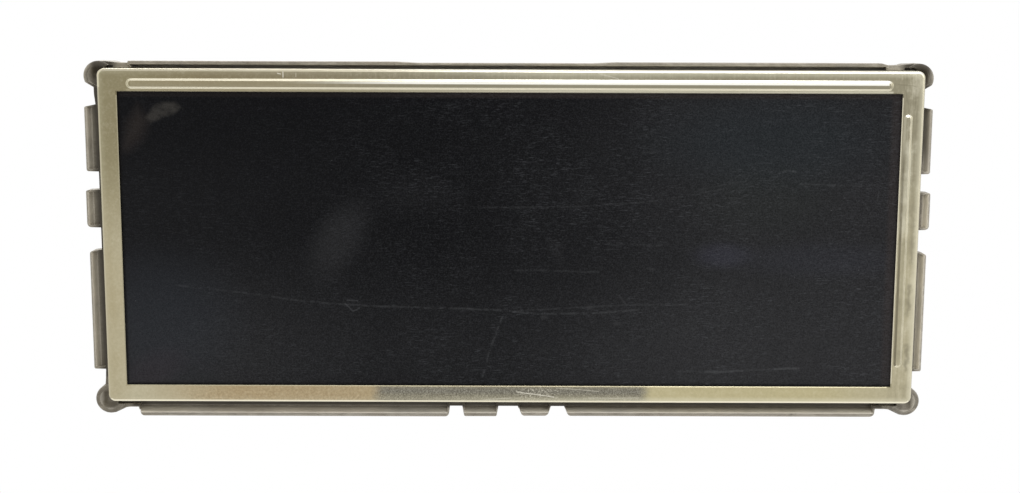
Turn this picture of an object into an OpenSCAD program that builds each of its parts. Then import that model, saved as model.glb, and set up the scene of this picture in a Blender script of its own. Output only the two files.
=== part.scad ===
// Car display screen: a liquid crystal module in a pressed bezel, on a die-cast carrier.
// Pieces are laid out as seen from the front: X right from the bezel's middle, Y up from the
// centre of the corner holes, Z towards the viewer from the rear face of the corner lobes.
// upright() then stands the whole screen up, with the centre of the corner holes at the origin.

/* [Window and bezel] */
// Width of the window in the bezel
window_w = 211.8; // [206:0.1:216]
// Height of the window in the bezel
window_h = 81; // [77:0.1:84]
// Height of the window's centre above the centre of the corner holes
window_rise = 0.85; // [0.5:0.05:1.3]
// Distance of the window's centre to the right of the centre of the corner holes
window_shift = 0.3; // [0:0.05:0.6]
// Bezel face at the left of the window
border_left = 5.3; // [5:0.1:6.4]
// Bezel face at the right of the window
border_right = 6; // [5.6:0.1:6.6]
// Bezel face above the window
border_top = 6.1; // [5.8:0.1:7.5]
// Bezel face below the window
border_bottom = 4.8; // [4.5:0.1:6]
// Thickness of the bezel's sheet metal
sheet_t = 0.5; // [0.35:0.05:0.6]
// Radius of the bezel's corners
bezel_r = 1.9; // [1.6:0.1:3]
// Outer radius of the fold between face and skirt
fold_r = 0.9; // [0.7:0.1:1.2]
// Length of the bezel's skirt, from its face
skirt_h = 7.8; // [7:0.1:8.5]
// Chamfer round the window's edge
window_chamfer = 0.2; // [0.1:0.05:0.3]

/* [Beads] */
// Height of the beads above the bezel's face
bead_rise = 0.5; // [0.3:0.05:0.7]
// Width of the slope at each side of a bead
bead_slope = 0.8; // [0.6:0.05:0.9]
// Length of the bead above the window
top_bead_l = 206.6; // [180:0.1:208.5]
// Width of the bead above the window
top_bead_w = 3.0; // [2.4:0.1:3.2]
// Distance from the window's edge to the middle of the top bead
top_bead_out = 2.1; // [2:0.1:2.6]
// Length of the bead at the right of the window
right_bead_l = 70; // [50:0.5:76]
// Width of the bead at the right of the window
right_bead_w = 2.5; // [2.1:0.1:2.7]
// Distance from the window's edge to the middle of the right bead
right_bead_out = 1.65; // [1.5:0.05:2]

/* [Liquid crystal cell] */
// Thickness of the foam gasket
gasket_t = 0.4; // [0.3:0.05:0.6]
// Width of the gasket's strip
gasket_w = 1.3; // [0.8:0.1:1.5]
// Distance from the window's edge to the gasket
gasket_back = 0.4; // [0.2:0.1:0.5]
// Thickness of each polarizer
polarizer_t = 0.2; // [0.15:0.05:0.3]
// How far the polarizers run on past the window
polarizer_over = 1.1; // [0.9:0.1:1.4]
// Thickness of each glass sheet
glass_t = 0.5; // [0.4:0.1:0.7]
// How far the glass runs on past the window
glass_over = 1.6; // [1.5:0.1:1.8]
// Height of the driver ledge above the front glass
ledge_h = 2.6; // [2.5:0.05:2.8]
// Clearance round the glass
glass_gap = 0.15; // [0.1:0.05:0.2]
// Driver chip, length
driver_l = 22; // [16:1:26]
// Driver chip, width
driver_w = 1.1; // [0.8:0.1:1.2]
// Driver chip, thickness
driver_t = 0.3; // [0.2:0.05:0.4]
// Places of the driver chips along the ledge
driver_x = [-66, -30, 30, 66];

/* [Panel flexes] */
// Width of each panel flex
flex_w = 52; // [40:1:56]
// Distance of each panel flex from the middle
flex_x = 48; // [44:1:50]
// Thickness of the panel flexes
flex_t = 0.12; // [0.1:0.02:0.14]
// Length of a flex's bond on the ledge
bond_l = 1.0; // [0.8:0.1:1.2]
// Length of a flex on the source board
tail_l = 2.6; // [2:0.1:3.5]
// Bend radius of the panel flexes
flex_bend = 0.6; // [0.4:0.1:0.8]

/* [Moulded frame] */
// Clearance between the frame and the bezel
frame_gap = 0.15; // [0.1:0.05:0.2]
// Thickness of the shelf under the cell
shelf_t = 0.8; // [0.6:0.1:1.2]
// How far the shelf reaches in past the window's edge
shelf_in = 0.8; // [0.6:0.1:0.9]
// Thickness of the frame's side walls
frame_side = 1.95; // [1.6:0.05:2.2]
// Thickness of the frame's bottom wall
frame_foot = 1.74; // [1.5:0.02:1.8]
// Thickness of the frame's top wall
frame_head = 4.26; // [4.1:0.02:4.6]
// Length of a snap catch
catch_l = 6; // [4:0.5:8]
// Height of a snap catch
catch_h = 1.8; // [1.2:0.1:2]
// Clearance round a catch in its window
catch_gap = 0.15; // [0.1:0.05:0.3]
// Distance from the bezel's face to the middle of the catches
catch_depth = 5; // [4.5:0.1:5.5]
// Places of the catches along the top
catch_top = [-92, 0, 92];
// Places of the catches along the bottom
catch_foot = [-88, -30, 30, 88];
// Places of the catches along the sides
catch_side = [-22, 22];

/* [Backlight] */
// Thickness of each prism film
prism_t = 0.2; // [0.15:0.05:0.3]
// Thickness of the diffuser film
diffuser_t = 0.3; // [0.2:0.05:0.4]
// Thickness of the light guide
guide_t = 3; // [2:0.1:4]
// Thickness of the reflector film
reflector_t = 0.2; // [0.15:0.05:0.3]
// Clearance round the light guide
guide_gap = 0.3; // [0.2:0.05:0.35]
// Distance from the edge of the light guide to the films' edge
film_inset = 0.1; // [0:0.05:0.2]
// Thickness of the tray's sheet metal
tray_t = 0.6; // [0.5:0.05:0.8]
// Clearance between tray and moulded frame
tray_gap = 0.15; // [0.1:0.05:0.2]
// Height of the threaded bushes on the tray
bush_h = 2.4; // [2:0.1:3]
// Outer radius of the threaded bushes
bush_r = 2.5; // [2.2:0.1:2.7]
// Thickness of the light strip's board
strip_t = 0.8; // [0.6:0.1:0.9]
// Width of a light emitting diode
led_w = 3; // [2:0.1:4]
// Depth of a light emitting diode
led_d = 1; // [0.8:0.1:1.1]
// Height of a light emitting diode
led_h = 2.6; // [2:0.1:2.8]
// Spacing of the light emitting diodes
led_pitch = 7; // [5:0.1:10]
// Gap between the diodes and the light guide
led_gap = 0.1; // [0.05:0.05:0.15]

/* [Source board] */
// Width of the source board
source_w = 172; // [165:1:180]
// Height of the source board
source_h = 8.5; // [8:0.1:9]
// Thickness of the source board
source_t = 1; // [0.8:0.1:1.2]
// Thickness of the insulator under the source board
insulator_t = 0.4; // [0.2:0.05:0.6]
// Distance from the tray's top edge to the source board
source_drop = 0.8; // [0.6:0.1:1.2]

/* [Control board] */
// Thickness of the control board
board_t = 1.6; // [1.2:0.1:2]
// Clearance between the control board and the bay
board_gap = 1.1; // [0.8:0.1:1.5]
// Corner radius of the control board
board_r = 4; // [2:0.5:6]
// Height of the chips on the board's rear
chip_t = 1.2; // [0.8:0.1:1.6]
// Thickness of the thermal pads
pad_t = 0.8; // [0.5:0.1:1.5]
// Distance from the bay's wall to the centre of the board screws, sideways
board_screw_in_x = 5.7; // [5:0.1:8]
// Distance from the bay's wall to the centre of the board screws, upwards
board_screw_in_y = 5.2; // [5:0.1:7]
// Radius of the electrolytic capacitors
can_r = 3.15; // [2:0.05:4]
// Height of the electrolytic capacitors
can_h = 5.2; // [4:0.1:5.4]
// Side of the coils
coil_w = 7; // [5:0.5:8]
// Height of the coils
coil_h = 3.6; // [2.5:0.1:4.2]
// Side of the graphics chip
graphics_w = 24; // [18:1:27]
// Width of the memory chips
memory_w = 12; // [8:0.5:14]
// Height of the memory chips
memory_h = 14; // [10:0.5:16]
// Side of the power chips
power_chip_w = 9; // [6:0.5:10]
// Length of the small components
passive_l = 1.6; // [1:0.1:2]
// Width of the small components
passive_w = 0.8; // [0.5:0.1:1.2]
// Height of the small components
passive_t = 0.6; // [0.4:0.1:1]
// Spacing of the small components
passive_pitch = 6; // [4:0.5:6.5]

/* [Connectors] */
// How far the connectors stand out behind the corner lobes
connector_out = 4; // [3:0.5:6]
// Height of the connectors' middle, from the bay's bottom wall
connector_up = 14.2; // [12:0.1:18]
// Distance of the power connector's middle from the bay's right wall
power_in = 50.55; // [46:0.05:56]
// Width of the power connector
power_w = 21; // [18:0.5:23]
// Height of the power connector
power_h = 10.5; // [9.5:0.1:12]
// Distance of the video connector's middle from the bay's right wall
video_in = 24.55; // [20:0.05:26]
// Side of the video connector
video_w = 11.6; // [10.5:0.1:12]
// Wall of both connector shells
shell_t = 1.3; // [1:0.1:1.5]
// Depth of both sockets
socket_d = 9; // [8:0.5:10]
// Distance from a socket's mouth to the tips of its contacts
contact_in = 4.6; // [4.4:0.1:5]
// Width of a power pin
pin_w = 0.8; // [0.6:0.05:1]
// Spacing of the power pins
pin_pitch = 3.6; // [3:0.1:4]

/* [Cast carrier] */
// Clearance beside the bezel in the carrier
pocket_side = 0.15; // [0.1:0.05:0.4]
// Clearance above the bezel in the carrier
pocket_head = 0.7; // [0.5:0.05:0.8]
// Clearance below the bezel in the carrier
pocket_foot = 0.3; // [0.2:0.05:0.4]
// Clearance of the locating pads above the bezel
locating_gap = 0.1; // [0.05:0.05:0.2]
// Thickness of the left wall
wall_left = 1.85; // [1.5:0.05:2.1]
// Thickness of the right wall
wall_right = 1.5; // [1.3:0.05:1.9]
// Thickness of the top wall
wall_top = 0.7; // [0.65:0.05:0.9]
// Thickness of the bottom wall
wall_foot = 2.3; // [2.1:0.05:2.5]
// Distance from the bezel's face to the front of the walls
wall_back = 6.5; // [6.2:0.1:7]
// Distance from the bezel's face to the front of the lips and lobes
lip_back = 6; // [5.5:0.1:6.2]
// Depth of the channels behind the lips of the top and bottom tabs
channel_d = 2.4; // [2:0.1:3]
// Depth of the channels behind the lips of the side tabs
side_channel_d = 1.4; // [1:0.1:2]
// Thickness of the rim's floor
flange_t = 1.6; // [1.2:0.1:2]
// How far the side tabs reach out past the centres of the corner holes
tab_side = 4.3; // [3.9:0.1:4.4]
// How far the top tab stands out from the wall
tab_top = 0.5; // [0.3:0.05:0.8]
// Sag of the top tab's edge in the middle
tab_top_sag = 0.3; // [0.1:0.05:0.4]
// How far the bottom tabs stand out from the wall
tab_foot = 2.9; // [2.5:0.05:3.2]
// How much further each side tab reaches, from the lowest up
side_more = [0, 0.4, 0];
// How much further each bottom tab reaches, from the left
foot_more = [0.25, 0.15, 0, 0];
// Width of the lip on the side tabs, from the foot of its slope to its edge
lip_side = 1.9; // [1.6:0.1:2.2]
// Distance of the side lips' crest from the edge
crest_side = 0.6; // [0.5:0.05:0.8]
// Width of the lip on the bottom tabs, from the foot of its slope to its edge
lip_foot = 2.8; // [2.4:0.1:3]
// Distance of the bottom lips' crest from the edge
crest_foot = 1.1; // [0.8:0.05:1.3]
// Height of the rounding along a lip's edge
lip_round = 0.7; // [0.5:0.05:0.9]
// Thickness of the walls that close a tab's channel
tab_end = 0.7; // [0.6:0.1:1]
// Width of the channel behind the lip of the top tab
top_channel_w = 0.3; // [0.2:0.05:0.4]
// Ends of the side tabs, measured up and down from the corner holes: lowest, highest
side_tab_in = [8.65, 7.6];
// Ends of the bottom tabs, measured inwards from the corner holes: left, right
foot_tab_in = [7.5, 8.2];
// Ends of the top tab, measured inwards from the corner holes: left, right
top_tab_in = [8, 8.4];
// Notches in the side rims: middle and width
side_notches = [[0.45, 6.1], [16.6, 4.9]];
// Notches in the bottom rim: middle and width
foot_notches = [[-14.6, 3.35], [0, 5], [14, 3.2]];
// Slopes at both ends of each side tab, from the lowest up
side_slants = [[0.1, 0.6], [0.1, 0.35], [0.1, 0.8]];
// Slopes at both ends of each bottom tab, from the left
foot_slants = [[1.3, 0.4], [0.7, 0.7], [1.7, 1.2], [1.6, 0.4]];
// Slopes at both ends of the top tab
top_slants = [0.2, 1.8];
// Corner radii at both ends of each side tab, from the lowest up
side_corners = [[0.6, 1.2], [1.4, 0.7], [0.8, 0.8]];
// Corner radii at both ends of each bottom tab, from the left
foot_corners = [[1.2, 1.4], [0.6, 0.7], [1.2, 1.5], [1.4, 1.5]];
// Thickness of the shoulder that carries the module
shoulder_t = 2; // [1.6:0.1:2.4]
// Height of the seats on the shoulder
seat_h = 0.6; // [0.4:0.1:1]
// Width of the shoulder at the sides
shoulder_side = 10; // [9.8:0.1:11]
// Width of the shoulder at the top
shoulder_top = 8.16; // [8:0.02:9]
// Width of the shoulder at the bottom
shoulder_foot = 4.74; // [4.5:0.02:5.4]
// Thickness of the bay's walls
bay_wall = 1.8; // [1.6:0.1:2.2]
// Corner radius of the bay
bay_r = 6; // [5:0.5:8]
// Rounding of the bay's rear edge
bay_edge = 1.5; // [1:0.1:1.7]
// Thickness of the bay's floor
floor_t = 2; // [1.8:0.1:2.6]
// Height of the islands under the thermal pads
island_h = 1.6; // [1:0.1:2]
// Space between the board's front and the shoulder's rear face
board_drop = 0.8; // [0.5:0.1:1.2]
// Height of the cooling fins
fin_h = 3; // [2:0.1:4]
// Distance from the fins' tips to the mounting plane
fin_back = 0.4; // [0.2:0.1:1]
// Thickness of a fin at its root
fin_root = 2; // [1.6:0.1:2.4]
// Thickness of a fin at its tip
fin_tip = 1.2; // [0.8:0.1:1.4]
// Spacing of the fins
fin_pitch = 7.2; // [6:0.1:9]

/* [Corner lobes] */
// Distance of the corner holes out past the bezel's sides
hole_out = 0.45; // [0.2:0.05:0.6]
// Distance of the corner holes in from the bezel's top and bottom edges
hole_in = 0.7; // [0.5:0.05:1.1]
// Radius of the corner lobes
lobe_r = 4.1; // [3.8:0.05:4.4]
// Distance from an upper lobe's centre to the flat on its lower outer side
lobe_flat = 3.3; // [3:0.1:3.6]
// Radius of a lobe at the mounting plane
lobe_foot_r = 3.7; // [3.4:0.05:3.8]
// Rounding of a lobe's front edge
lobe_edge = 0.5; // [0.3:0.05:0.6]
// Width of the rim round a lobe's dish
lobe_rim = 0.8; // [0.7:0.1:1.2]
// Depth of the dish in a lobe's front
dish_d = 1.9; // [1.5:0.1:2.4]
// Radius of the flat in the middle of the dish
dish_flat_r = 0.8; // [0.5:0.1:1.2]
// Tapped radius of the corner holes
hole_r = 1.65; // [1.25:0.05:2.1]
// Depth of the corner holes
hole_d = 12; // [8:0.5:13]
// Thickness of the ribs between lobes and bay
rib_t = 2.2; // [1.8:0.1:2.6]

/* [Screws] */
// Radius of the module screws
module_screw_r = 1.5; // [1.25:0.05:1.6]
// Head radius of the module screws
module_head_r = 2.7; // [2.4:0.1:2.8]
// Head height of the module screws
module_head_h = 1.8; // [1.4:0.1:2.2]
// Distance of the module screws in from the tray's sides
module_screw_in = 3.6; // [3:0.1:3.8]
// Distance of the outer module screws from the height of the corner holes
module_screw_from_hole = 7.75; // [7.6:0.05:10]
// Radius of the board screws
board_screw_r = 1.2; // [1:0.05:1.3]
// Head radius of the board screws
board_head_r = 2.3; // [2:0.1:2.4]
// Head height of the board screws
board_head_h = 1.6; // [1.2:0.1:2]
// Radial gap left between a screw's core and its thread
thread_gap = 0.05; // [0.02:0.01:0.1]
// Radial clearance of a screw in a plain hole
screw_gap = 0.2; // [0.15:0.05:0.3]

/* [Hidden] */
$fn = 48;
past = 1;

// Levels of the stack, from the mounting plane forward
floor_rear = fin_back + fin_h;
floor_front = floor_rear + floor_t;
island_front = floor_front + island_h;
board_rear = island_front + pad_t + chip_t;
board_front = board_rear + board_t;
shoulder_rear = board_front + board_drop;
shoulder_front = shoulder_rear + shoulder_t;
seat = shoulder_front + seat_h;
tray_rear = seat + bush_h;
reflector_rear = tray_rear + tray_t;
guide_rear = reflector_rear + reflector_t;
diffuser_rear = guide_rear + guide_t;
prism_lower_rear = diffuser_rear + diffuser_t;
prism_upper_rear = prism_lower_rear + prism_t;
shelf_rear = prism_upper_rear + prism_t;
shelf_front = shelf_rear + shelf_t;
tft_rear = shelf_front + polarizer_t;
filter_rear = tft_rear + glass_t;
filter_front = filter_rear + glass_t;
gasket_rear = filter_front + polarizer_t;
sheet_rear = gasket_rear + gasket_t;
front = sheet_rear + sheet_t;
skirt_end = front - skirt_h;
source_front = tray_rear - insulator_t;
source_rear = source_front - source_t;

// Outlines as [left, right, bottom, top]
window_x = (border_left - border_right) / 2;
window = [window_x - window_w / 2, window_x + window_w / 2,
          window_rise - window_h / 2, window_rise + window_h / 2];
bezel = [window[0] - border_left, window[1] + border_right,
         window[2] - border_bottom, window[3] + border_top];
frame = grown(bezel, -sheet_t - frame_gap);
polarizer = grown(window, polarizer_over);
filter = grown(window, glass_over);
tft = [filter[0], filter[1], filter[2], filter[3] + ledge_h];
tray = [frame[0] + frame_side + tray_gap, frame[1] - frame_side - tray_gap,
        frame[2] + frame_foot + tray_gap, frame[3] - frame_head - tray_gap];
tray_inside = grown(tray, -tray_t);
guide = [tray_inside[0] + guide_gap, tray_inside[1] - guide_gap,
         tray_inside[2] + strip_t + led_d + led_gap, tray_inside[3] - guide_gap];
film = grown(guide, -film_inset);
pocket = [bezel[0] - pocket_side, bezel[1] + pocket_side,
          bezel[2] - pocket_foot, bezel[3] + pocket_head];
walls = [pocket[0] - wall_left, pocket[1] + wall_right,
         pocket[2] - wall_foot, pocket[3] + wall_top];
bay = [pocket[0] + shoulder_side, pocket[1] - shoulder_side,
       pocket[2] + shoulder_foot, pocket[3] - shoulder_top];
bay_inside = grown(bay, -bay_wall);
board = grown(bay_inside, -board_gap);
source = [-source_w / 2, source_w / 2, tray[3] - source_drop - source_h, tray[3] - source_drop];

// Columns of the power stages, as shares of half the board's width
power_columns = [0.142, 0.385, 0.629];
can_column_shift = 0.122;

// Top of the panel flexes, just inside the skirt
flex_top = bezel[3] - sheet_t - 0.06;

// Fold and bead
fold_in = fold_r - sheet_t;
bead_wall = 0.35;

// Lobes and rim, seen from the centre of the corner holes; outlines of tabs are drawn along X
// with Y pointing out, and each tab is [start, end]
hole_x = wide(bezel) / 2 + hole_out;
hole_y = high(bezel) / 2 - hole_in;
lip_front = front - lip_back;
wall_front = front - wall_back;
channel_floor = lip_front - channel_d;
flange_rear = channel_floor - flange_t;
side_tabs = stretches(side_tab_in[0] - hole_y, hole_y - side_tab_in[1], side_notches);
foot_tabs = stretches(foot_tab_in[0] - hole_x, hole_x - foot_tab_in[1], foot_notches);
top_tab = [top_tab_in[0] - hole_x, hole_x - top_tab_in[1]];
side_edges = [for (m = side_more) hole_x + tab_side + m];
foot_edges = [for (m = foot_more) tab_foot + m - walls[2]];
top_edge = walls[3] + tab_top;

// Screws
module_screw_x = tray[1] - module_screw_in;
module_screw_y = hole_y - module_screw_from_hole;
module_screws_at = [for (x = [-1, 1], y = [-1, 0, 1]) [x * module_screw_x, y * module_screw_y]];
board_screw_x = bay_inside[1] - board_screw_in_x;
board_screws_at = [for (x = [-1, 0, 1], y = [bay_inside[2] + board_screw_in_y,
                   bay_inside[3] - board_screw_in_y]) [x * board_screw_x, y]];
screw_end_gap = 0.6;

// Connectors
power_x = bay_inside[1] - power_in;
video_x = bay_inside[1] - video_in;
connector_y = bay_inside[2] + connector_up;
connector_rear = -connector_out;
connector_base = connector_rear + socket_d;
connector_gap = 0.5;
collar_t = 1.6;
pin_tip = connector_rear + contact_in;
sleeve_r = 2.6;
sleeve_t = 0.4;
contact_w = 0.5;
contact_at = 0.75;

// Chips on the board: [x, y, width, height]
graphics_at = concat(on_board(-0.223, 0.054), [graphics_w, graphics_w]);
memory_at = [for (v = [-0.27, 0.377]) concat(on_board(-0.588, v), [memory_w, memory_h])];
power_at = [for (u = power_columns) concat(on_board(u, 0.593), [power_chip_w, power_chip_w])];
cooled = concat([graphics_at], memory_at, power_at);
pad_inset = 1;
island_over = 1.5;

// Flat cables
ribbon_w = 24;
ribbon_t = 0.2;
ribbon_steps = 14;
socket_w = 28;
source_socket_h = 3.6;
source_socket_t = 1.6;
ribbon_socket_h = 4.4;
ribbon_socket_t = 2;
ribbon_socket_y = 15;
slot_d = 2.4;
tail_w = 12;
tail_x = 30;
tail_bend = 1.2;
tail_socket_y = -26;
tail_socket_w = 16;

function grown(o, d) = [o[0] - d, o[1] + d, o[2] - d, o[3] + d];
function wide(o) = o[1] - o[0];
function high(o) = o[3] - o[2];
function unit(v) = v / norm(v);

// A place on the control board, as shares of half its width and height
function on_board(u, v) = [u * wide(board) / 2, v * high(board) / 2];

// The stretches left between notches, as [start, end]
function stretches(from, to, notches) = [
  for (i = [0:len(notches)]) [
    i == 0 ? from : notches[i - 1][0] + notches[i - 1][1] / 2,
    i == len(notches) ? to : notches[i][0] - notches[i][1] / 2
  ]
];

// Points of an arc of radius r that rounds the corner at q, between p and s
function corner_arc(p, q, s, r, steps = 5) =
  let (u = unit(p - q), v = unit(s - q), half = acos(u * v) / 2,
       c = q + unit(u + v) * r / sin(half),
       a = q + u * r / tan(half) - c, b = q + v * r / tan(half) - c,
       start = atan2(a[1], a[0]), turn = (atan2(b[1], b[0]) - start + 540) % 360 - 180)
  [for (i = [0:steps]) c + r * [cos(start + turn * i / steps), sin(start + turn * i / steps)]];

// An outline with its corners rounded; a radius of 0 leaves a corner sharp
function rounded(points, radii) =
  let (n = len(points))
  [for (i = [0:n - 1]) each radii[i] == 0 ? [points[i]]
    : corner_arc(points[(i + n - 1) % n], points[i], points[(i + 1) % n], radii[i])];

// Outline of a strip of thickness t along a path
function strip(path, t) =
  let (n = len(path),
       normal = [for (i = [0:n - 1])
         let (d = unit(path[min(i + 1, n - 1)] - path[max(i - 1, 0)])) [-d[1], d[0]]])
  concat([for (i = [0:n - 1]) path[i] + normal[i] * t / 2],
         [for (i = [n - 1:-1:0]) path[i] - normal[i] * t / 2]);

// An S-shaped path from a to b that starts and ends level
function easy_path(a, b, steps) = [
  for (i = [0:steps])
    let (s = i / steps) [a[0] + (b[0] - a[0]) * s, a[1] + (b[1] - a[1]) * s * s * (3 - 2 * s)]
];

// Stands a piece up, with the centre of the corner holes at the origin
module upright() {
  rotate([90, 0, 0]) translate([window_shift - window_x, 0, 0]) children();
}

module from_holes() {
  translate([window_x - window_shift, 0, 0]) children();
}

module plate(rear, front_z) {
  translate([0, 0, rear]) linear_extrude(front_z - rear) children();
}

// A flat area over an outline, with round corners
module area(o, r = 0) {
  translate([o[0], o[2]]) {
    if (r == 0) {
      square([wide(o), high(o)]);
    } else {
      translate([r, 0]) square([wide(o) - 2 * r, high(o)]);
      translate([0, r]) square([wide(o), high(o) - 2 * r]);
      for (x = [r, wide(o) - r], y = [r, high(o) - r]) translate([x, y]) circle(r);
    }
  }
}

// A block over an outline whose sides follow a profile of [inset, height] points
module profiled(o, r, profile) {
  low = profile[0][1];
  high_z = profile[len(profile) - 1][1];
  section = concat([[0, low]], [for (p = profile) [r - p[0], p[1]]], [[0, high_z]]);
  translate([(o[0] + o[1]) / 2, (o[2] + o[3]) / 2, 0]) {
    plate(low, high_z) square([wide(o) - 2 * r, high(o) - 2 * r], center = true);
    for (i = [0:3]) {
      a = i % 2 == 0 ? wide(o) : high(o);
      b = i % 2 == 0 ? high(o) : wide(o);
      rotate([0, 0, 90 * i]) {
        translate([a / 2 - r, 0, 0])
          rotate([90, 0, 0]) linear_extrude(b - 2 * r, center = true) polygon(section);
        translate([a / 2 - r, b / 2 - r, 0]) rotate_extrude(angle = 90) polygon(section);
      }
    }
  }
}

// A quarter round from the side at the height z - r to the face at z
function round_over(r, z, steps = 6) = [
  for (i = [0:steps]) [r * (1 - cos(90 * i / steps)), z - r * (1 - sin(90 * i / steps))]
];

// A pressed bead with round ends, lying along X
module bead(l, w, rise, slope, base) {
  steps = 6;
  side = [for (i = [0:steps]) [w / 2 - slope * i / steps, rise * (1 - cos(180 * i / steps)) / 2]];
  half = concat([[0, -base], [w / 2, -base]], side, [[0, rise]]);
  mirrored = [for (i = [len(side) - 1:-1:0]) [-side[i][0], side[i][1]]];
  whole = concat([[-w / 2, -base], [w / 2, -base]], side, mirrored);
  rotate([90, 0, 90]) linear_extrude(l - w, center = true) polygon(whole);
  for (end = [0, 180]) rotate([0, 0, end]) translate([(l - w) / 2, 0, 0])
    rotate([0, 0, -90]) rotate_extrude(angle = 180) polygon(half);
}

module both_beads(shrink, z, base) {
  translate([window_x, window[3] + top_bead_out, z])
    bead(top_bead_l - 2 * shrink, top_bead_w - 2 * shrink, bead_rise, bead_slope, base);
  translate([window[1] + right_bead_out, window_rise, z]) rotate([0, 0, 90])
    bead(right_bead_l - 2 * shrink, right_bead_w - 2 * shrink, bead_rise, bead_slope, base);
}

// Places one shape at each catch, its Y axis pointing out of the module
module at_catches() {
  for (x = catch_top) translate([x, frame[3], front - catch_depth]) children();
  for (x = catch_foot) translate([x, frame[2], front - catch_depth]) rotate([0, 0, 180]) children();
  for (y = catch_side) {
    translate([frame[1], window_rise + y, front - catch_depth]) rotate([0, 0, -90]) children();
    translate([frame[0], window_rise + y, front - catch_depth]) rotate([0, 0, 90]) children();
  }
}

module window_bevel() {
  for (i = [0:3]) {
    a = i % 2 == 0 ? window_w : window_h;
    b = i % 2 == 0 ? window_h : window_w;
    translate([window_x, window_rise, 0]) rotate([0, 0, 90 * i]) translate([a / 2, 0, front])
      rotate([90, 0, 0]) linear_extrude(b + 2 * window_chamfer, center = true)
      polygon([[-past, past], [-past, -window_chamfer], [0, -window_chamfer],
               [window_chamfer, 0], [window_chamfer, past]]);
  }
}

module front_bezel() color("#a89e7b") upright() {
  difference() {
    union() {
      profiled(bezel, bezel_r, concat([[0, skirt_end]], round_over(fold_r, front)));
      both_beads(0, front, sheet_t / 2);
    }
    profiled(grown(bezel, -sheet_t), bezel_r - sheet_t,
      concat([[0, skirt_end - past]], round_over(fold_in, sheet_rear)));
    both_beads(bead_wall, sheet_rear, sheet_t / 2);
    plate(sheet_rear - past, front + past) area(window);
    window_bevel();
    at_catches() translate([-catch_l / 2 - catch_gap, -past, -catch_h / 2 - catch_gap])
      cube([catch_l + 2 * catch_gap, 2 * past + sheet_t, catch_h + 2 * catch_gap]);
  }
}

module front_gasket() color("#1d1d1f") upright() {
  inner = grown(window, gasket_back);
  plate(gasket_rear, sheet_rear) difference() {
    area(grown(inner, gasket_w));
    area(inner);
  }
}

module front_polarizer() color("#17181b") upright() {
  plate(filter_front, gasket_rear) area(polarizer, 0.5);
}

module color_filter_glass() color("#30363c") upright() {
  plate(filter_rear, filter_front) area(filter);
}

module tft_glass() color("#3a4248") upright() {
  plate(tft_rear, filter_rear) area(tft);
}

module rear_polarizer() color("#202327") upright() {
  plate(shelf_front, tft_rear) area(polarizer, 0.5);
}

module driver_chips() color("#5a5d63") upright() {
  for (x = driver_x) translate([x - driver_l / 2, filter[3] + 0.3, filter_rear])
    cube([driver_l, driver_w, driver_t]);
}

module panel_flexes() color("#b06f26") upright() {
  outer = [tft[3] - bond_l - past, flex_top, source_rear - flex_t, filter_rear + flex_t];
  for (x = [-flex_x, flex_x]) translate([x, 0, 0])
    rotate([90, 0, 90]) linear_extrude(flex_w, center = true) difference() {
      bent_sheet(outer, flex_bend);
      bent_sheet([outer[0] - past, outer[1] - flex_t, outer[2] + flex_t, outer[3] - flex_t],
        flex_bend - flex_t);
      translate([0, filter_rear - past]) square([tft[3] - bond_l, 3 * past]);
    }
  // the leg on the source board is longer than the bond
  for (x = [-flex_x, flex_x]) translate([x - flex_w / 2, source[3] - tail_l, source_rear - flex_t])
    cube([flex_w, outer[0] - source[3] + tail_l, flex_t]);
}

// A section with round corners on its far side only
module bent_sheet(o, r) {
  polygon(rounded([[o[0], o[2]], [o[1], o[2]], [o[1], o[3]], [o[0], o[3]]], [0, r, r, 0]));
}

module panel_frame() color("#1b1c1e") upright() {
  flex_recess = 0.2;
  flex_step = 0.05;
  pockets = 8;
  pocket_margin = 14.7;
  pocket_pitch = (wide(frame) - 2 * pocket_margin) / pockets;
  pocket_rib = 7;
  pocket_h = 2;
  pocket_d = 3;
  pocket_up = 1.1;
  difference() {
    profiled(frame, bezel_r - sheet_t - frame_gap,
      [[0, tray_rear], [0, sheet_rear - fold_in], [fold_in, sheet_rear]]);
    plate(shelf_front, front) area(grown(tft, glass_gap));
    plate(shelf_rear - past, shelf_front + past) area(grown(window, -shelf_in));
    plate(tray_rear - past, shelf_rear) area(grown(tray, tray_gap), 1);
    for (x = [-flex_x, flex_x]) translate([x - flex_w / 2 - 1, 0, 0]) {
      translate([0, tft[3] - past, filter_rear]) cube([flex_w + 2, 4, 4]);
      translate([0, frame[3] - flex_recess, tray_rear - past]) cube([flex_w + 2, 4, 10]);
      translate([0, flex_top - flex_bend - flex_step, filter_rear - flex_bend])
        cube([flex_w + 2, 4, 4]);
    }
    for (i = [0:pockets - 1])
      translate([frame[0] + pocket_margin + i * pocket_pitch + pocket_rib / 2,
                 frame[3] - frame_head + pocket_up, tray_rear - past])
        cube([pocket_pitch - pocket_rib, pocket_h, pocket_d + past]);
  }
  at_catches() rotate([90, 0, 90]) linear_extrude(catch_l, center = true)
    polygon([[-0.4, -catch_h / 2], [frame_gap + 0.4, -catch_h / 2],
             [frame_gap + 0.4, 0.2 - catch_h / 2], [-0.4, catch_h / 2]]);
}

module prism_film_upper() color("#c9d4d8") upright() {
  plate(prism_upper_rear, shelf_rear) area(film);
}

module prism_film_lower() color("#c2ced3") upright() {
  plate(prism_lower_rear, prism_upper_rear) area(film);
}

module diffuser_film() color("#e6e8e6") upright() {
  plate(diffuser_rear, prism_lower_rear) area(film);
}

module light_guide() color("#d7e6e8") upright() {
  plate(guide_rear, diffuser_rear) area(guide, 0.4);
}

module reflector_film() color("#f0f0ee") upright() {
  plate(reflector_rear, guide_rear) area(guide, 0.4);
}

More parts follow.
